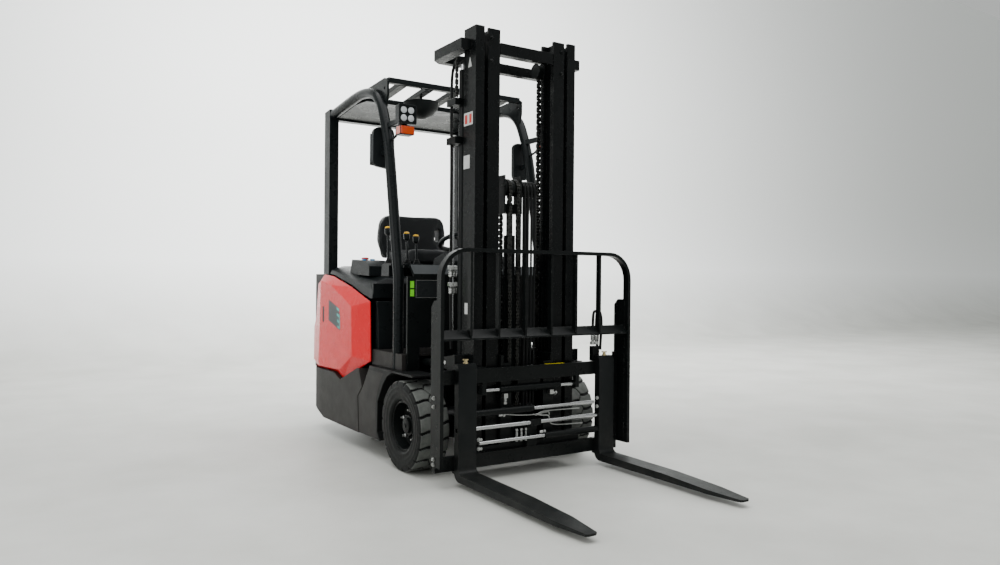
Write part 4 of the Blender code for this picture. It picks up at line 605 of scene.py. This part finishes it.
def tyre(name, node, body, steps, lanes, bead, depth=0.009):
    """A solid tyre with a Y-grooved tread and stepped sidewalls, in the space of its CAD node."""
    low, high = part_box(node)
    centre = 0.5 * (low + high)
    half = 0.5 * (high.x - low.x)
    radius = 0.5 * (high.z - low.z)
    wall = radius - bead
    side_profile = [
        (0.80 * half, bead),
        (0.90 * half, bead + 0.06 * wall),
        (0.94 * half, bead + 0.16 * wall),
        (0.925 * half, bead + 0.20 * wall),
        (0.955 * half, bead + 0.36 * wall),
        (0.975 * half, bead + 0.44 * wall),
        (0.965 * half, bead + 0.47 * wall),
        (0.985 * half, bead + 0.62 * wall),
        (0.995 * half, bead + 0.70 * wall),
        (0.975 * half, bead + 0.73 * wall),
    ]
    shoulder = [
        (0.990 * half, radius - 0.075 * wall * 2), (0.965 * half, radius - 0.06 * wall),
        (0.93 * half, radius - 0.022 * wall)
    ]
    tread = [(half * (0.90 - 1.80 * i / lanes), radius) for i in range(lanes + 1)]
    profile = side_profile + shoulder + tread + [(-x, r) for x, r in reversed(shoulder)] + [
        (-x, r) for x, r in reversed(side_profile)
    ]
    shape = bmesh.new()
    rings = []
    for x, r in profile:
        ring = []
        for i in range(steps):
            turn = i / steps
            near = r
            if r > radius - 0.16 * wall:
                near = r - groove_depth(turn, x / half, depth)
                near -= 0.012 * wall * (abs(x) / half) ** 6
            angle = 2 * math.pi * turn
            ring.append(
                shape.verts.new(
                    (centre.x + x, centre.y + near * math.sin(angle), centre.z + near * math.cos(angle))
                )
            )
        rings.append(ring)
    first_tread = len(side_profile) + len(shoulder) - 1
    last_tread = first_tread + lanes + 2
    for k, (lower, upper) in enumerate(zip(rings, rings[1:])):
        for i in range(steps):
            j = (i + 1) % steps
            face = shape.faces.new((lower[i], lower[j], upper[j], upper[i]))
            if first_tread <= k < last_tread:
                across = 0.5 * (profile[k][0] + profile[k + 1][0]) / half
                if groove_depth((i + 0.5) / steps, across, 1.0) < 0.25:
                    face.material_index = 1
    for i in range(steps):
        j = (i + 1) % steps
        shape.faces.new((rings[-1][i], rings[-1][j], rings[0][j], rings[0][i]))
    thing = keep(name, shape, (RUBBER, TREAD), body, smooth=50)
    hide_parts(node)
    return thing


for side, sign in SIDES:
    body = f"{side}_front_wheel"
    tyre(f"{side}_drive_tyre", f"{side}_front_tyre", body, 18 * 26, 44, 0.1284)
    low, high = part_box(f"{side}_front_rim")
    centre = 0.5 * (low + high)
    outer_x = high.x if sign > 0 else low.x
    shape = bmesh.new()
    nuts = bmesh.new()
    face_x = outer_x - sign * 0.027
    add_turned(shape, (face_x - sign * 0.002, centre.y, centre.z), (sign, 0, 0),
               [(0, 0.040), (0.016, 0.038), (0.019, 0.030), (0.019, 0.012), (0.024, 0.010)], 32)
    for i in range(5):
        angle = 2 * math.pi * (i + 0.3) / 5
        spot = Vector(
            (
                outer_x - sign * 0.052, centre.y + 0.078 * math.cos(angle),
                centre.z + 0.078 * math.sin(angle)
            )
        )
        add_turned(
            nuts, spot, (sign, 0, 0),
            [
                (0, 0.015), (0.006, 0.013), (0.006, 0.0112), (0.018, 0.0112), (0.021, 0.008),
                (0.021, 0.006), (0.030, 0.0055)
            ],
            6
        )
    keep(f"{side}_wheel_hub", shape, BLACK, body)
    keep(f"{side}_wheel_nuts", nuts, ZINC, body, bevel=0.0006)
for side, sign in SIDES:
    tyre(f"{side}_steer_tyre", f"{side}_rear_tyre", "rear_wheels", 18 * 16, 30, 0.1054, 0.007)

# ---------------------------------------------------------------- chains and hoses


def add_chain(shape, start, end, width, pitch=0.0159, plates=4, across=(1, 0, 0)):
    """A leaf chain: staggered rounded plates on pins between two points."""
    start, end, across = Vector(start), Vector(end), Vector(across).normalized()
    along = (end - start).normalized()
    deep = along.cross(across).normalized()
    count = int((end - start).length / pitch)
    gap = width / plates
    for i in range(count):
        centre = start + along * pitch * (i + 0.5)
        for k in range(plates):
            if (i + k) % 2:
                continue
            base = centre + across * (gap * k - width / 2)
            ring = []
            for n in range(10):
                angle = math.pi * (n % 5) / 4 - math.pi / 2
                tip = 1 if n < 5 else -1
                ring.append(base + along * tip * (pitch * 0.5 + 0.0058 * math.cos(angle))
                            + deep * 0.0066 * math.sin(angle) * tip)
            add_prism(shape, ring, across * gap * 0.82)
        add_turned(shape, start + along * pitch * i - across * (width / 2 + 0.0015), across,
                   [(0, 0.0030), (width + 0.002, 0.0030)], 8)


low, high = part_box("crosshead")
sheave = Vector((high.x - 0.145, 0.5 * (low.y + high.y), high.z - 0.063))
sheave_radius = 0.040
chain_x = at(-0.057, 0, 0).x
front_y, rear_y = sheave.y - sheave_radius, sheave.y + sheave_radius

shape = bmesh.new()
for offset in (-0.024, 0.024):
    for y in (front_y - 0.002, rear_y + 0.002):
        add_chain(
            shape, (chain_x + offset, y, 0.34 if y < sheave.y else 0.22),
            (chain_x + offset, y, sheave.z), 0.020
        )
    for i in range(11):
        angle = math.pi * i / 10
        a = Vector(
            (
                chain_x + offset, sheave.y - (sheave_radius + 0.002) * math.cos(angle),
                sheave.z + (sheave_radius + 0.002) * math.sin(angle)
            )
        )
        add_turned(shape, a - Vector((0.011, 0, 0)), (1, 0, 0), [(0, 0.0064), (0.022, 0.0064)], 10)
keep("carriage_chains", shape, CHAIN, "crosshead")

for i in range(4):
    x = at(0.0135 + 0.0205 * i, 0, 0).x
    arc = [
        Vector(
            (x, sheave.y - 0.036 * math.cos(math.pi * k / 8), 1.440 + 0.036 * math.sin(math.pi * k / 8))
        )
        for k in range(9)
    ]
    path = [Vector((x, sheave.y - 0.036, z)) for z in (0.30, 0.5, 0.8, 1.1, 1.38)] + arc + [
        Vector((x, sheave.y + 0.036, z)) for z in (1.38, 1.1, 0.8, 0.5, 0.30)]
    hose(f"carriage_hose_{i}", path, 0.0062, "crosshead", steps=3)

for side, sign in SIDES:
    # The main lift chain hangs behind the middle stage, from its top crossbar to the outer mast's foot.
    shape = bmesh.new()
    x = at(sign * 0.2475, 0, 0).x
    y = at(0, -0.188, 0).y
    add_chain(shape, (x, y, 2.115), (x, y, 0.30), 0.014, plates=3)
    keep(f"{side}_mast_chain", shape, CHAIN, "middle_stage")

# The big leaf chain on the inner face of the left channel, and its sheave cover.
shape = bmesh.new()
add_chain(shape, at(0.147, -0.222, 2.04), at(0.147, -0.222, 0.24), 0.022, plates=4)
keep("inner_stage_chain", shape, CHAIN, "inner_stage")
shape = bmesh.new()
add_turned(shape, at(0.125, -0.222, 2.075), (1, 0, 0), [(0, 0.034), (0.034, 0.034)], 24)
add_turned(shape, at(0.122, -0.222, 2.075), (1, 0, 0), [(0, 0.040), (0.003, 0.040)], 24)
add_turned(shape, at(0.157, -0.222, 2.075), (1, 0, 0), [(0, 0.040), (0.003, 0.040)], 24)
keep("inner_stage_sheave", shape, BLACK, "inner_stage")

# Hose pair and fittings down the back of the right channel.
route = [
    (-0.318, -0.150, 2.070), (-0.322, -0.128, 2.02), (-0.322, -0.120, 1.9), (-0.320, -0.120, 1.4),
    (-0.320, -0.120, 0.9), (-0.318, -0.128, 0.62)
]
hose("right_mast_hose", [at(*spot) for spot in route], 0.0075, "mast")
hose(
    "right_return_pipe", [at(-0.304, -0.112, 1.66), at(-0.304, -0.112, 1.2), at(-0.304, -0.112, 0.70)],
    0.006, "mast", CHROME
)
shape = bmesh.new()
add_fitting(shape, at(-0.304, -0.112, 1.66), (0, 0, 1), 0.008)
for z in (0.985, 0.90):
    add_fitting(shape, at(-0.318, -0.120, z), (0, 0, 1), 0.010)
    add_fitting(shape, at(-0.292, -0.106, z), (0, 0, 1), 0.010)
keep("mast_pipe_fittings", shape, ZINC, "mast")
shape = bmesh.new()
for z in (1.848, 1.655):
    add_box(shape, at(-0.340, -0.190, z), at(-0.286, -0.100, z + 0.035))
keep("mast_pipe_clamps", shape, BLACK, "mast", bevel=0.002)
shape = bmesh.new()
add_chain(shape, at(-0.330, -0.185, 1.890), at(-0.330, -0.185, 2.095), 0.016, plates=3)
keep("mast_anchor_chain", shape, CHAIN, "mast")

# ---------------------------------------------------------------- mast details

shape = bmesh.new()
for side, sign in SIDES:
    for z in (2.165, 2.052):
        add_bolt(shape, at(sign * 0.216, -0.328, z), (0, -1, 0), 0.008)
keep("mast_stop_bolts", shape, BLACK, "middle_stage")

outer_face = -0.3055
for name, low_y, high_y, low_z, high_z, material in (
        ("class_sticker", -0.303, -0.219, 1.735, 1.798, WHITE_LABEL),
        ("check_sticker", -0.276, -0.219, 1.522, 1.588, WHITE_LABEL)):
    label(name, [
        at(outer_face, low_y, low_z), at(outer_face, high_y, low_z), at(outer_face, high_y, high_z),
        at(outer_face, low_y, high_z)
    ],
          (-1, 0, 0), material, "mast")
label(
    "triangle_sticker",
    [at(outer_face, -0.290, 2.020), at(outer_face, -0.256, 2.020), at(outer_face, -0.273, 2.070)],
    (-1, 0, 0), WHITE_LABEL, "mast"
)
for k in range(2):
    centre = at(outer_face - 0.0006, -0.282 + 0.042 * k, 1.766)
    label(
        f"class_mark_{k}", rectangle(centre, (0, 1, 0), (0, 0, 1), 0.022, 0.044), (-1, 0, 0), RED_LABEL,
        "mast"
    )
label(
    "hose_sticker", rectangle(at(outer_face, -0.255, 0.83), (0, 1, 0), (0, 0, 1), 0.030, 0.055),
    (-1, 0, 0), WHITE_LABEL, "mast"
)

# ---------------------------------------------------------------- carriage, positioner and forks

shape = bmesh.new()
low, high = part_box("load_backrest")
for z in (0.425, 0.385, 0.142, 0.118):
    for x, outward in ((low.x + 0.004, -1), (high.x - 0.004, 1)):
        add_bolt(shape, (x, at(0, -0.400, 0).y, z), (outward, 0, 0), 0.008)
for z in (0.212, 0.168):
    add_bolt(shape, at(-0.3165, -0.410, z) + Vector((0, -0.009, 0)), (0, -1, 0), 0.0075, False)
keep("backrest_bolts", shape, ZINC, "sideshifter")
for name, x in (("right", -0.3275), ("left", 0.4)):
    shape = bmesh.new()
    z0 = 0.190 if name == "right" else 0.334
    for dz in (-0.022, 0.022):
        add_bolt(shape, at(x, -0.418, z0 + dz), (0, -1, 0), 0.0075)
    keep(f"{name}_bracket_bolts", shape, ZINC, f"{name}_fork")
    shape = bmesh.new()
    low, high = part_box(f"{name}_fork")
    pin = Vector((0.5 * (low.x + high.x), at(0, -0.400, 0).y, high.z))
    add_turned(
        shape, pin, (0, 0, 1),
        [(0, 0.012), (0.006, 0.012), (0.006, 0.008), (0.016, 0.008), (0.016, 0.014), (0.022, 0.014)], 16
    )
    keep(f"{name}_fork_latch", shape, BRASS, f"{name}_fork", bevel=0.0005)

# Chromed sleeves show on the rods, just clear of the CAD rods' own surface.
for name, x0, x1, y, z, radius, body in (
        ("guide_rod_left_chrome", 0.045, 0.412, -0.402, 0.263, 0.0113, "sideshifter"),
        ("guide_rod_right_chrome", -0.340, -0.020, -0.402, 0.263, 0.0113, "sideshifter"),
        ("shift_rod_right_chrome", -0.261, -0.175, -0.358, 0.433, 0.0103, "sideshifter"),
        ("shift_rod_left_chrome", 0.196, 0.285, -0.358, 0.433, 0.0103, "sideshifter"),
        ("upper_rod_chrome", 0.0, 0.388, -0.402, 0.334, 0.0093, "left_fork"),
        ("lower_rod_chrome", -0.316, 0.072, -0.402, 0.190, 0.0093, "right_fork")):
    shape = bmesh.new()
    add_turned(shape, at(x0, y, z), (1, 0, 0), [(0, radius), (x1 - x0, radius)], 24)
    keep(name, shape, CHROME_X, body)

shape = bmesh.new()
for x, z, along in ((-0.150, 0.395, (0, 0, -1)), (0.130, 0.395, (1, 0, 0))):
    add_box(shape, at(x - 0.011, -0.384, 0.392), at(x + 0.011, -0.362, 0.414))
    add_fitting(shape, at(x, -0.375, 0.396), along, 0.006)
for k in range(4):
    add_fitting(shape, at(-0.075 + 0.028 * k, -0.368, 0.200), (0, 0, -1), 0.0055)
    add_fitting(shape, at(-0.075 + 0.028 * k, -0.368, 0.200), (0, 0, 1), 0.0055)
add_fitting(shape, at(-0.205, -0.402, 0.315), (1, 0, 0), 0.006)
add_fitting(shape, at(0.040, -0.402, 0.210), (1, 0, 0), 0.006)
keep("positioner_fittings", shape, ZINC, "sideshifter")
for k, points in enumerate((
        [
            at(-0.165, -0.396, 0.316), at(-0.08, -0.398, 0.305), at(0.02, -0.398, 0.300),
            at(0.08, -0.398, 0.312), at(0.30, -0.396, 0.308)
        ],
        [
            at(0.02, -0.396, 0.300), at(0.06, -0.398, 0.292), at(0.10, -0.398, 0.285),
            at(0.13, -0.396, 0.240), at(0.32, -0.396, 0.228)
        ],
        [
            at(0.02, -0.392, 0.292), at(0.05, -0.392, 0.300), at(0.10, -0.392, 0.305),
            at(0.11, -0.390, 0.290)
        ])):
    hose(f"positioner_pipe_{k}", points, 0.0032, "sideshifter", ZINC)

label(
    "shelf_sticker", rectangle(at(0.155, -0.370, 0.5452), (1, 0, 0), (0, 1, 0), 0.120, 0.018), (0, 0, 1),
    YELLOW_LABEL, "sideshifter"
)

# Valve block and hose loop behind the left fork.
shape = bmesh.new()
add_box(shape, at(0.405, -0.376, 0.546), at(0.450, -0.345, 0.625))
keep("valve_block", shape, BLACK, "sideshifter", bevel=0.002)
shape = bmesh.new()
for k in range(2):
    add_fitting(shape, at(0.416 + 0.023 * k, -0.360, 0.682), (0, 0, -1), 0.0085)
keep("valve_fittings", shape, ZINC, "sideshifter")
for k in range(2):
    x = 0.416 + 0.023 * k
    loop = [
        (0, -0.360, 0.680), (0.002, -0.358, 0.745), (0.018, -0.345, 0.800), (0.045, -0.335, 0.805),
        (0.062, -0.330, 0.760), (0.058, -0.332, 0.690), (0.048, -0.338, 0.600)
    ]
    hose(f"valve_hose_{k}", [at(x + dx, y, z) for dx, y, z in loop], 0.0075, "sideshifter")

# ---------------------------------------------------------------- cabin

knobs = bmesh.new()
for i in range(4):
    spot = at(-0.432 + 0.058 * i, 0.399, 1.245 - 0.013 * i + 0.010)
    add_turned(
        knobs, spot, (0, 0.03, 1), [(0, 0.0160), (0.005, 0.0155), (0.009, 0.011), (0.0105, 0.005)], 20
    )
keep("lever_caps", knobs, YELLOW, "chassis")
boots = bmesh.new()
for i in range(4):
    foot = at(-0.432 + 0.058 * i, 0.385, 1.055)
    add_turned(
        boots, foot, (0, 0.07, 1),
        [
            (0, 0.022), (0.006, 0.023), (0.010, 0.018), (0.015, 0.019), (0.019, 0.014), (0.024, 0.015),
            (0.030, 0.008)
        ],
        18
    )
keep("lever_boots", boots, RUBBER, "chassis")

cap = bmesh.new()
ring = [
    at(-0.4318, 0.0692, 1.000), at(-0.4318, 0.1142, 1.0488), at(-0.4318, 0.3300, 1.0488),
    at(-0.4318, 0.3300, 1.0498), at(-0.4318, 0.1136, 1.0498), at(-0.4318, 0.0680, 1.0008)
]
add_prism(cap, ring, Vector((0.8636, 0, 0)))
keep("cowl_cap", cap, CAP_GREY, "chassis")

cowl_y = 0.0700
label(
    "green_sticker", rectangle(at(-0.4420, cowl_y, 0.945), (1, 0, 0), (0, 0, 1), 0.022, 0.036),
    (0, -1, 0), GREEN_LABEL, "chassis"
)
label(
    "green_sticker_low", rectangle(at(-0.4420, cowl_y, 0.902), (1, 0, 0), (0, 0, 1), 0.022, 0.036),
    (0, -1, 0), GREEN_LABEL, "chassis"
)
label(
    "capacity_plate_rim", rectangle(at(-0.3460, cowl_y, 0.922), (1, 0, 0), (0, 0, 1), 0.150, 0.094),
    (0, -1, 0), ZINC, "chassis", thickness=0.0008
)
label(
    "capacity_plate", rectangle(at(-0.3460, cowl_y - 0.0008, 0.922), (1, 0, 0), (0, 0, 1), 0.143, 0.087),
    (0, -1, 0), PLATE_DARK, "chassis"
)

# Console on the hood: red stop button, blue switches.
shape = bmesh.new()
add_turned(
    shape, at(-0.420, 0.742, 1.079), (0, 0, 1),
    [(0, 0.016), (0.008, 0.016), (0.008, 0.022), (0.016, 0.022), (0.020, 0.016)], 24
)
keep("stop_button", shape, RED_BUTTON, "hood")
shape = bmesh.new()
add_box(shape, at(-0.448, 0.700, 1.080), at(-0.430, 0.720, 1.089))
add_box(shape, at(-0.385, 0.735, 1.080), at(-0.360, 0.755, 1.091))
keep("console_switches", shape, BLUE_BUTTON, "hood", bevel=0.002)

# ---------------------------------------------------------------- seat


def padded_piece(name, node, inset, swell, pressure):
    """A vinyl pad blown up by cloth pressure from a slightly smaller copy of its CAD solid."""
    source = NODES[node]
    copy = bpy.data.objects.new(name, source.data.copy())
    bpy.context.scene.collection.objects.link(copy)
    low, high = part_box(node)
    centre = 0.5 * (low + high)
    size = high - low
    copy.data.transform(Matrix.Translation(centre) @ Matrix.Diagonal(
        (*(1 - 2 * inset / axis for axis in size), 1.0)) @ Matrix.Translation(-centre))
    bpy.context.view_layer.objects.active = copy
    weld = copy.modifiers.new("weld", "WELD")
    weld.merge_threshold = 0.0001
    remesh = copy.modifiers.new("remesh", "REMESH")
    remesh.mode = "VOXEL"
    remesh.voxel_size = 0.0075
    bpy.ops.object.select_all(action="DESELECT")
    copy.select_set(True)
    for modifier in ("weld", "remesh"):
        bpy.ops.object.modifier_apply(modifier=modifier)
    rest = [v.co.copy() for v in copy.data.vertices]
    cloth = copy.modifiers.new("cloth", "CLOTH")
    settings = cloth.settings
    settings.use_pressure = True
    settings.uniform_pressure_force = pressure
    settings.tension_stiffness = 12
    settings.compression_stiffness = 12
    settings.bending_stiffness = 1.5
    settings.effector_weights.gravity = 0
    cloth.collision_settings.use_collision = False
    scene = bpy.context.scene
    scene.frame_start, scene.frame_end = 1, 20
    for number in range(1, 21):
        scene.frame_set(number)
    bpy.ops.object.modifier_apply(modifier="cloth")
    scene.frame_set(1)
    for vertex, start in zip(copy.data.vertices, rest):
        move = vertex.co - start
        if move.length > swell:
            vertex.co = start + move.normalized() * swell
    for vertex in copy.data.vertices:
        for k in range(3):
            vertex.co[k] = min(max(vertex.co[k], low[k] + 0.0004), high[k] - 0.0004)
    copy.data.materials.clear()
    copy.data.materials.append(VINYL)
    copy.data.shade_smooth()
    relax = copy.modifiers.new("relax", "SMOOTH")
    relax.iterations = 6
    relax.factor = 0.5
    subdivide = copy.modifiers.new("subdivide", "SUBSURF")
    subdivide.levels = 1
    subdivide.render_levels = 1
    for modifier in ("relax", "subdivide"):
        bpy.ops.object.modifier_apply(modifier=modifier)
    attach(copy, "hood")
    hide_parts(node)
    return copy


padded_piece("seat_pad", "seat_cushion", 0.010, 0.016, 4.0)
padded_piece("back_pad", "seat_back", 0.008, 0.012, 3.0)

# ---------------------------------------------------------------- lamps and mirrors

LAMP_X, LAMP_Y = 0.459, 0.108

for side, sign in SIDES:
    # Four reflectors in a raised square rim, over an amber indicator, on a bent bracket.
    lens = bmesh.new()
    bezel = bmesh.new()
    centre = at(sign * LAMP_X, LAMP_Y, 1.835)
    for dx in (-0.021, 0.021):
        for dz in (-0.021, 0.021):
            spot = centre + Vector((dx, -0.0005, dz))
            add_turned(
                bezel, spot + Vector((0, 0.002, 0)), (0, -1, 0),
                [(0, 0.0205), (0.004, 0.0205), (0.005, 0.0185), (0.0025, 0.0175)], 24
            )
            add_turned(
                lens, spot + Vector((0, 0.001, 0)), (0, -1, 0),
                [(0, 0.0172), (0.0032, 0.0172), (0.0055, 0.012), (0.0064, 0.005)], 24
            )
    for dx, dz, width, height in (
        (0, 0.0465, 0.098, 0.010), (0, -0.0465, 0.098, 0.010), (-0.0465, 0, 0.010, 0.090),
        (0.0465, 0, 0.010, 0.090)
    ):
        middle = centre + Vector((dx, 0, dz))
        add_box(
            bezel, middle + Vector((-width / 2, -0.0075, -height / 2)),
            middle + Vector((width / 2, 0.004, height / 2))
        )
    keep(f"{side}_lamp_lens", lens, LENS, "chassis")
    keep(f"{side}_lamp_bezel", bezel, PLASTIC, "chassis", bevel=0.0015)
    amber = bmesh.new()
    add_box(
        amber, at(sign * (LAMP_X - 0.037), LAMP_Y - 0.0075, 1.7315),
        at(sign * (LAMP_X + 0.037), LAMP_Y - 0.0020, 1.7720)
    )
    for inner, outer in ((0.0375, 0.0422), (-0.0422, -0.0375)):
        add_box(
            amber, at(sign * (LAMP_X + inner), LAMP_Y - 0.001, 1.7320),
            at(sign * (LAMP_X + outer), LAMP_Y + 0.045, 1.7720)
        )
    keep(f"{side}_indicator", amber, AMBER, "chassis", bevel=0.002)
    bracket = bmesh.new()
    bend = ((0.046, 1.880), (0.072, 1.845), (0.085, 1.790), (0.130, 1.745), (0.195, 1.728))
    add_pipe(bracket, curve_through([at(sign * LAMP_X, LAMP_Y + dy, z) for dy, z in bend], 8), 0.007)
    keep(f"{side}_lamp_bracket", bracket, GUARD_BLACK, "chassis", smooth=60)
    glass = bmesh.new()
    corners = ((0.414, 1.585), (0.536, 1.600), (0.536, 1.772), (0.414, 1.782))
    spots = [at(sign * x, 0.4151, z) for x, z in corners]
    add_prism(glass, spots, Vector((0, 0.0008, 0)))
    keep(f"{side}_mirror_glass", glass, MIRROR_GLASS, "chassis")

# ---------------------------------------------------------------- body decals and hardware

PANEL_FACE_X = 0.540
DECAL_BACK, DECAL_FRONT = 1.020, 0.828
DECAL_TOP, DECAL_HEIGHT, DECAL_SHEAR = 0.842, 0.126, 0.054
STRIPE_LIFT = 0.0006


def decal_spot(sign, u, v, lift=STRIPE_LIFT):
    """A point on a side panel: u runs forwards over the decal, v upwards, leaning with the panel's top."""
    y = DECAL_BACK + (DECAL_FRONT - DECAL_BACK) * u
    z = DECAL_TOP - DECAL_SHEAR * u - DECAL_HEIGHT * (1 - v)
    return at(sign * (PANEL_FACE_X + lift), y, z)


for side, sign in SIDES:
    field = [decal_spot(sign, u, v, 0.0) for u, v in ((0, 1), (0.80, 1), (0.98, 0.70), (1, 0), (0, 0))]
    label(f"{side}_decal", field, (sign, 0, 0), DECAL_GREY, "chassis")
    for k, (v0, v1) in enumerate(((0.86, 0.98), (0.58, 0.70), (0.30, 0.42), (0.04, 0.14))):
        start = 0.70 + 0.03 * k
        bar = [decal_spot(sign, u, v) for u, v in ((start, v0), (0.93, v0), (0.93, v1), (start, v1))]
        label(f"{side}_decal_bar_{k}", bar, (sign, 0, 0), TEAL, "chassis")
    edge = [
        decal_spot(sign, u, v) for u, v in ((0.93, 0.06), (0.985, 0.06), (0.965, 0.68), (0.93, 0.80))
    ]
    label(f"{side}_decal_edge", edge, (sign, 0, 0), TEAL, "chassis")

for side, sign in SIDES:
    slot_cover = bmesh.new()
    add_box(slot_cover, at(sign * 0.5285, 1.1035, 0.7005), at(sign * 0.5396, 1.1265, 0.7955))
    keep(f"{side}_panel_slot", slot_cover, BLACK, "chassis", bevel=0.001)

# Tow pin at the rear.
shape = bmesh.new()
add_turned(
    shape, at(0, 1.405, 0.545), (0, 0, 1), [(0, 0.016), (0.100, 0.016), (0.100, 0.024), (0.112, 0.024)],
    20
)
keep("tow_pin", shape, ZINC, "chassis")

# ---------------------------------------------------------------- stage, light and camera

floor = bpy.data.meshes.new("floor")
shape = bmesh.new()
profile = [(-9.0, 0.0)] + [(-9.0 + 14.0, 0.0)]
for i in range(1, 13):
    angle = math.pi / 2 * i / 12
    profile.append((5.0 + 3.0 * math.sin(angle), 3.0 - 3.0 * math.cos(angle)))
profile.append((8.0, 9.0))
left = [shape.verts.new((-40.0, y, z - 0.0002)) for y, z in profile]
right = [shape.verts.new((40.0, y, z - 0.0002)) for y, z in profile]
for i in range(len(profile) - 1):
    shape.faces.new((left[i], right[i], right[i + 1], left[i + 1]))
shape.to_mesh(floor)
shape.free()
floor.shade_smooth()
floor_object = bpy.data.objects.new("floor", floor)
bpy.context.scene.collection.objects.link(floor_object)
floor_material, tree, shader = tree_of("pale_floor")
shader.inputs["Roughness"].default_value = 0.55
tree.links.new(blended(
    tree, ranged(tree, noise(tree, 1.6, 6.0, 0.6).outputs[0], 0.35, 0.65, 0.0, 1.0),
    (0.47, 0.475, 0.445), (0.55, 0.555, 0.525)
),
               shader.inputs["Base Color"])
wall_height = tree.nodes.new("ShaderNodeTexCoord")
wall_split = tree.nodes.new("ShaderNodeSeparateXYZ")
tree.links.new(wall_height.outputs["Object"], wall_split.inputs[0])
wall_part = ranged(tree, wall_split.outputs["Z"], 0.0, 1.2, 0.0, 1.0)
floor_colour = shader.inputs["Base Color"].links[0].from_socket
tree.links.new(blended(tree, wall_part, floor_colour, (0.93, 0.95, 0.94)), shader.inputs["Base Color"])
floor.materials.append(floor_material)


def area_light(name, spot, target, size, power, colour=(1.0, 1.0, 1.0)):
    data = bpy.data.lights.new(name, "AREA")
    data.shape = "RECTANGLE"
    data.size, data.size_y = size
    data.energy = power
    data.color = colour
    thing = bpy.data.objects.new(name, data)
    bpy.context.scene.collection.objects.link(thing)
    thing.location = spot
    thing.rotation_euler = (Vector(target) - Vector(spot)).to_track_quat("-Z", "Y").to_euler()


area_light("ceiling", (0.0, -0.5, 5.2), (0, 0, 0.6), (7.0, 5.0), 400)
area_light("left_wall", (-5.5, 0.5, 2.4), (0, 0.2, 0.9), (4.0, 3.0), 110)
area_light("front_fill", (-1.5, -6.5, 2.8), (0, 0, 0.8), (5.0, 2.5), 60)
area_light("right_wall", (5.5, -1.5, 2.6), (0, 0, 0.9), (3.0, 3.0), 80)
area_light("backdrop_wash", (3.0, 1.8, 5.5), (5.0, 8.0, 2.5), (9.0, 1.5), 1500)
world = bpy.data.worlds.new("studio")
bpy.context.scene.world = world
world.use_nodes = True
background = world.node_tree.nodes["Background"]
background.inputs["Color"].default_value = (0.97, 1.0, 0.975, 1.0)
background.inputs["Strength"].default_value = 0.55

camera_data = bpy.data.cameras.new("camera")
camera_data.sensor_width = 36.0
camera_data.lens = 27.9
camera = bpy.data.objects.new("camera", camera_data)
bpy.context.scene.collection.objects.link(camera)
YAW, PITCH, ROLL = math.radians(32.851), math.radians(-0.279), math.radians(0.48)
ahead = Vector((math.sin(YAW) * math.cos(PITCH), math.cos(YAW) * math.cos(PITCH), math.sin(PITCH)))
right = Vector((math.cos(YAW), -math.sin(YAW), 0.0))
up = right.cross(ahead)
right, up = right * math.cos(ROLL) + up * math.sin(ROLL), up * math.cos(ROLL) - right * math.sin(ROLL)
turn = Matrix((right, up, -ahead)).transposed().to_4x4()
camera.matrix_world = Matrix.Translation(at(-2.2455, -3.5653, 0.9791)) @ turn
bpy.context.scene.camera = camera

bpy.context.view_layer.update()
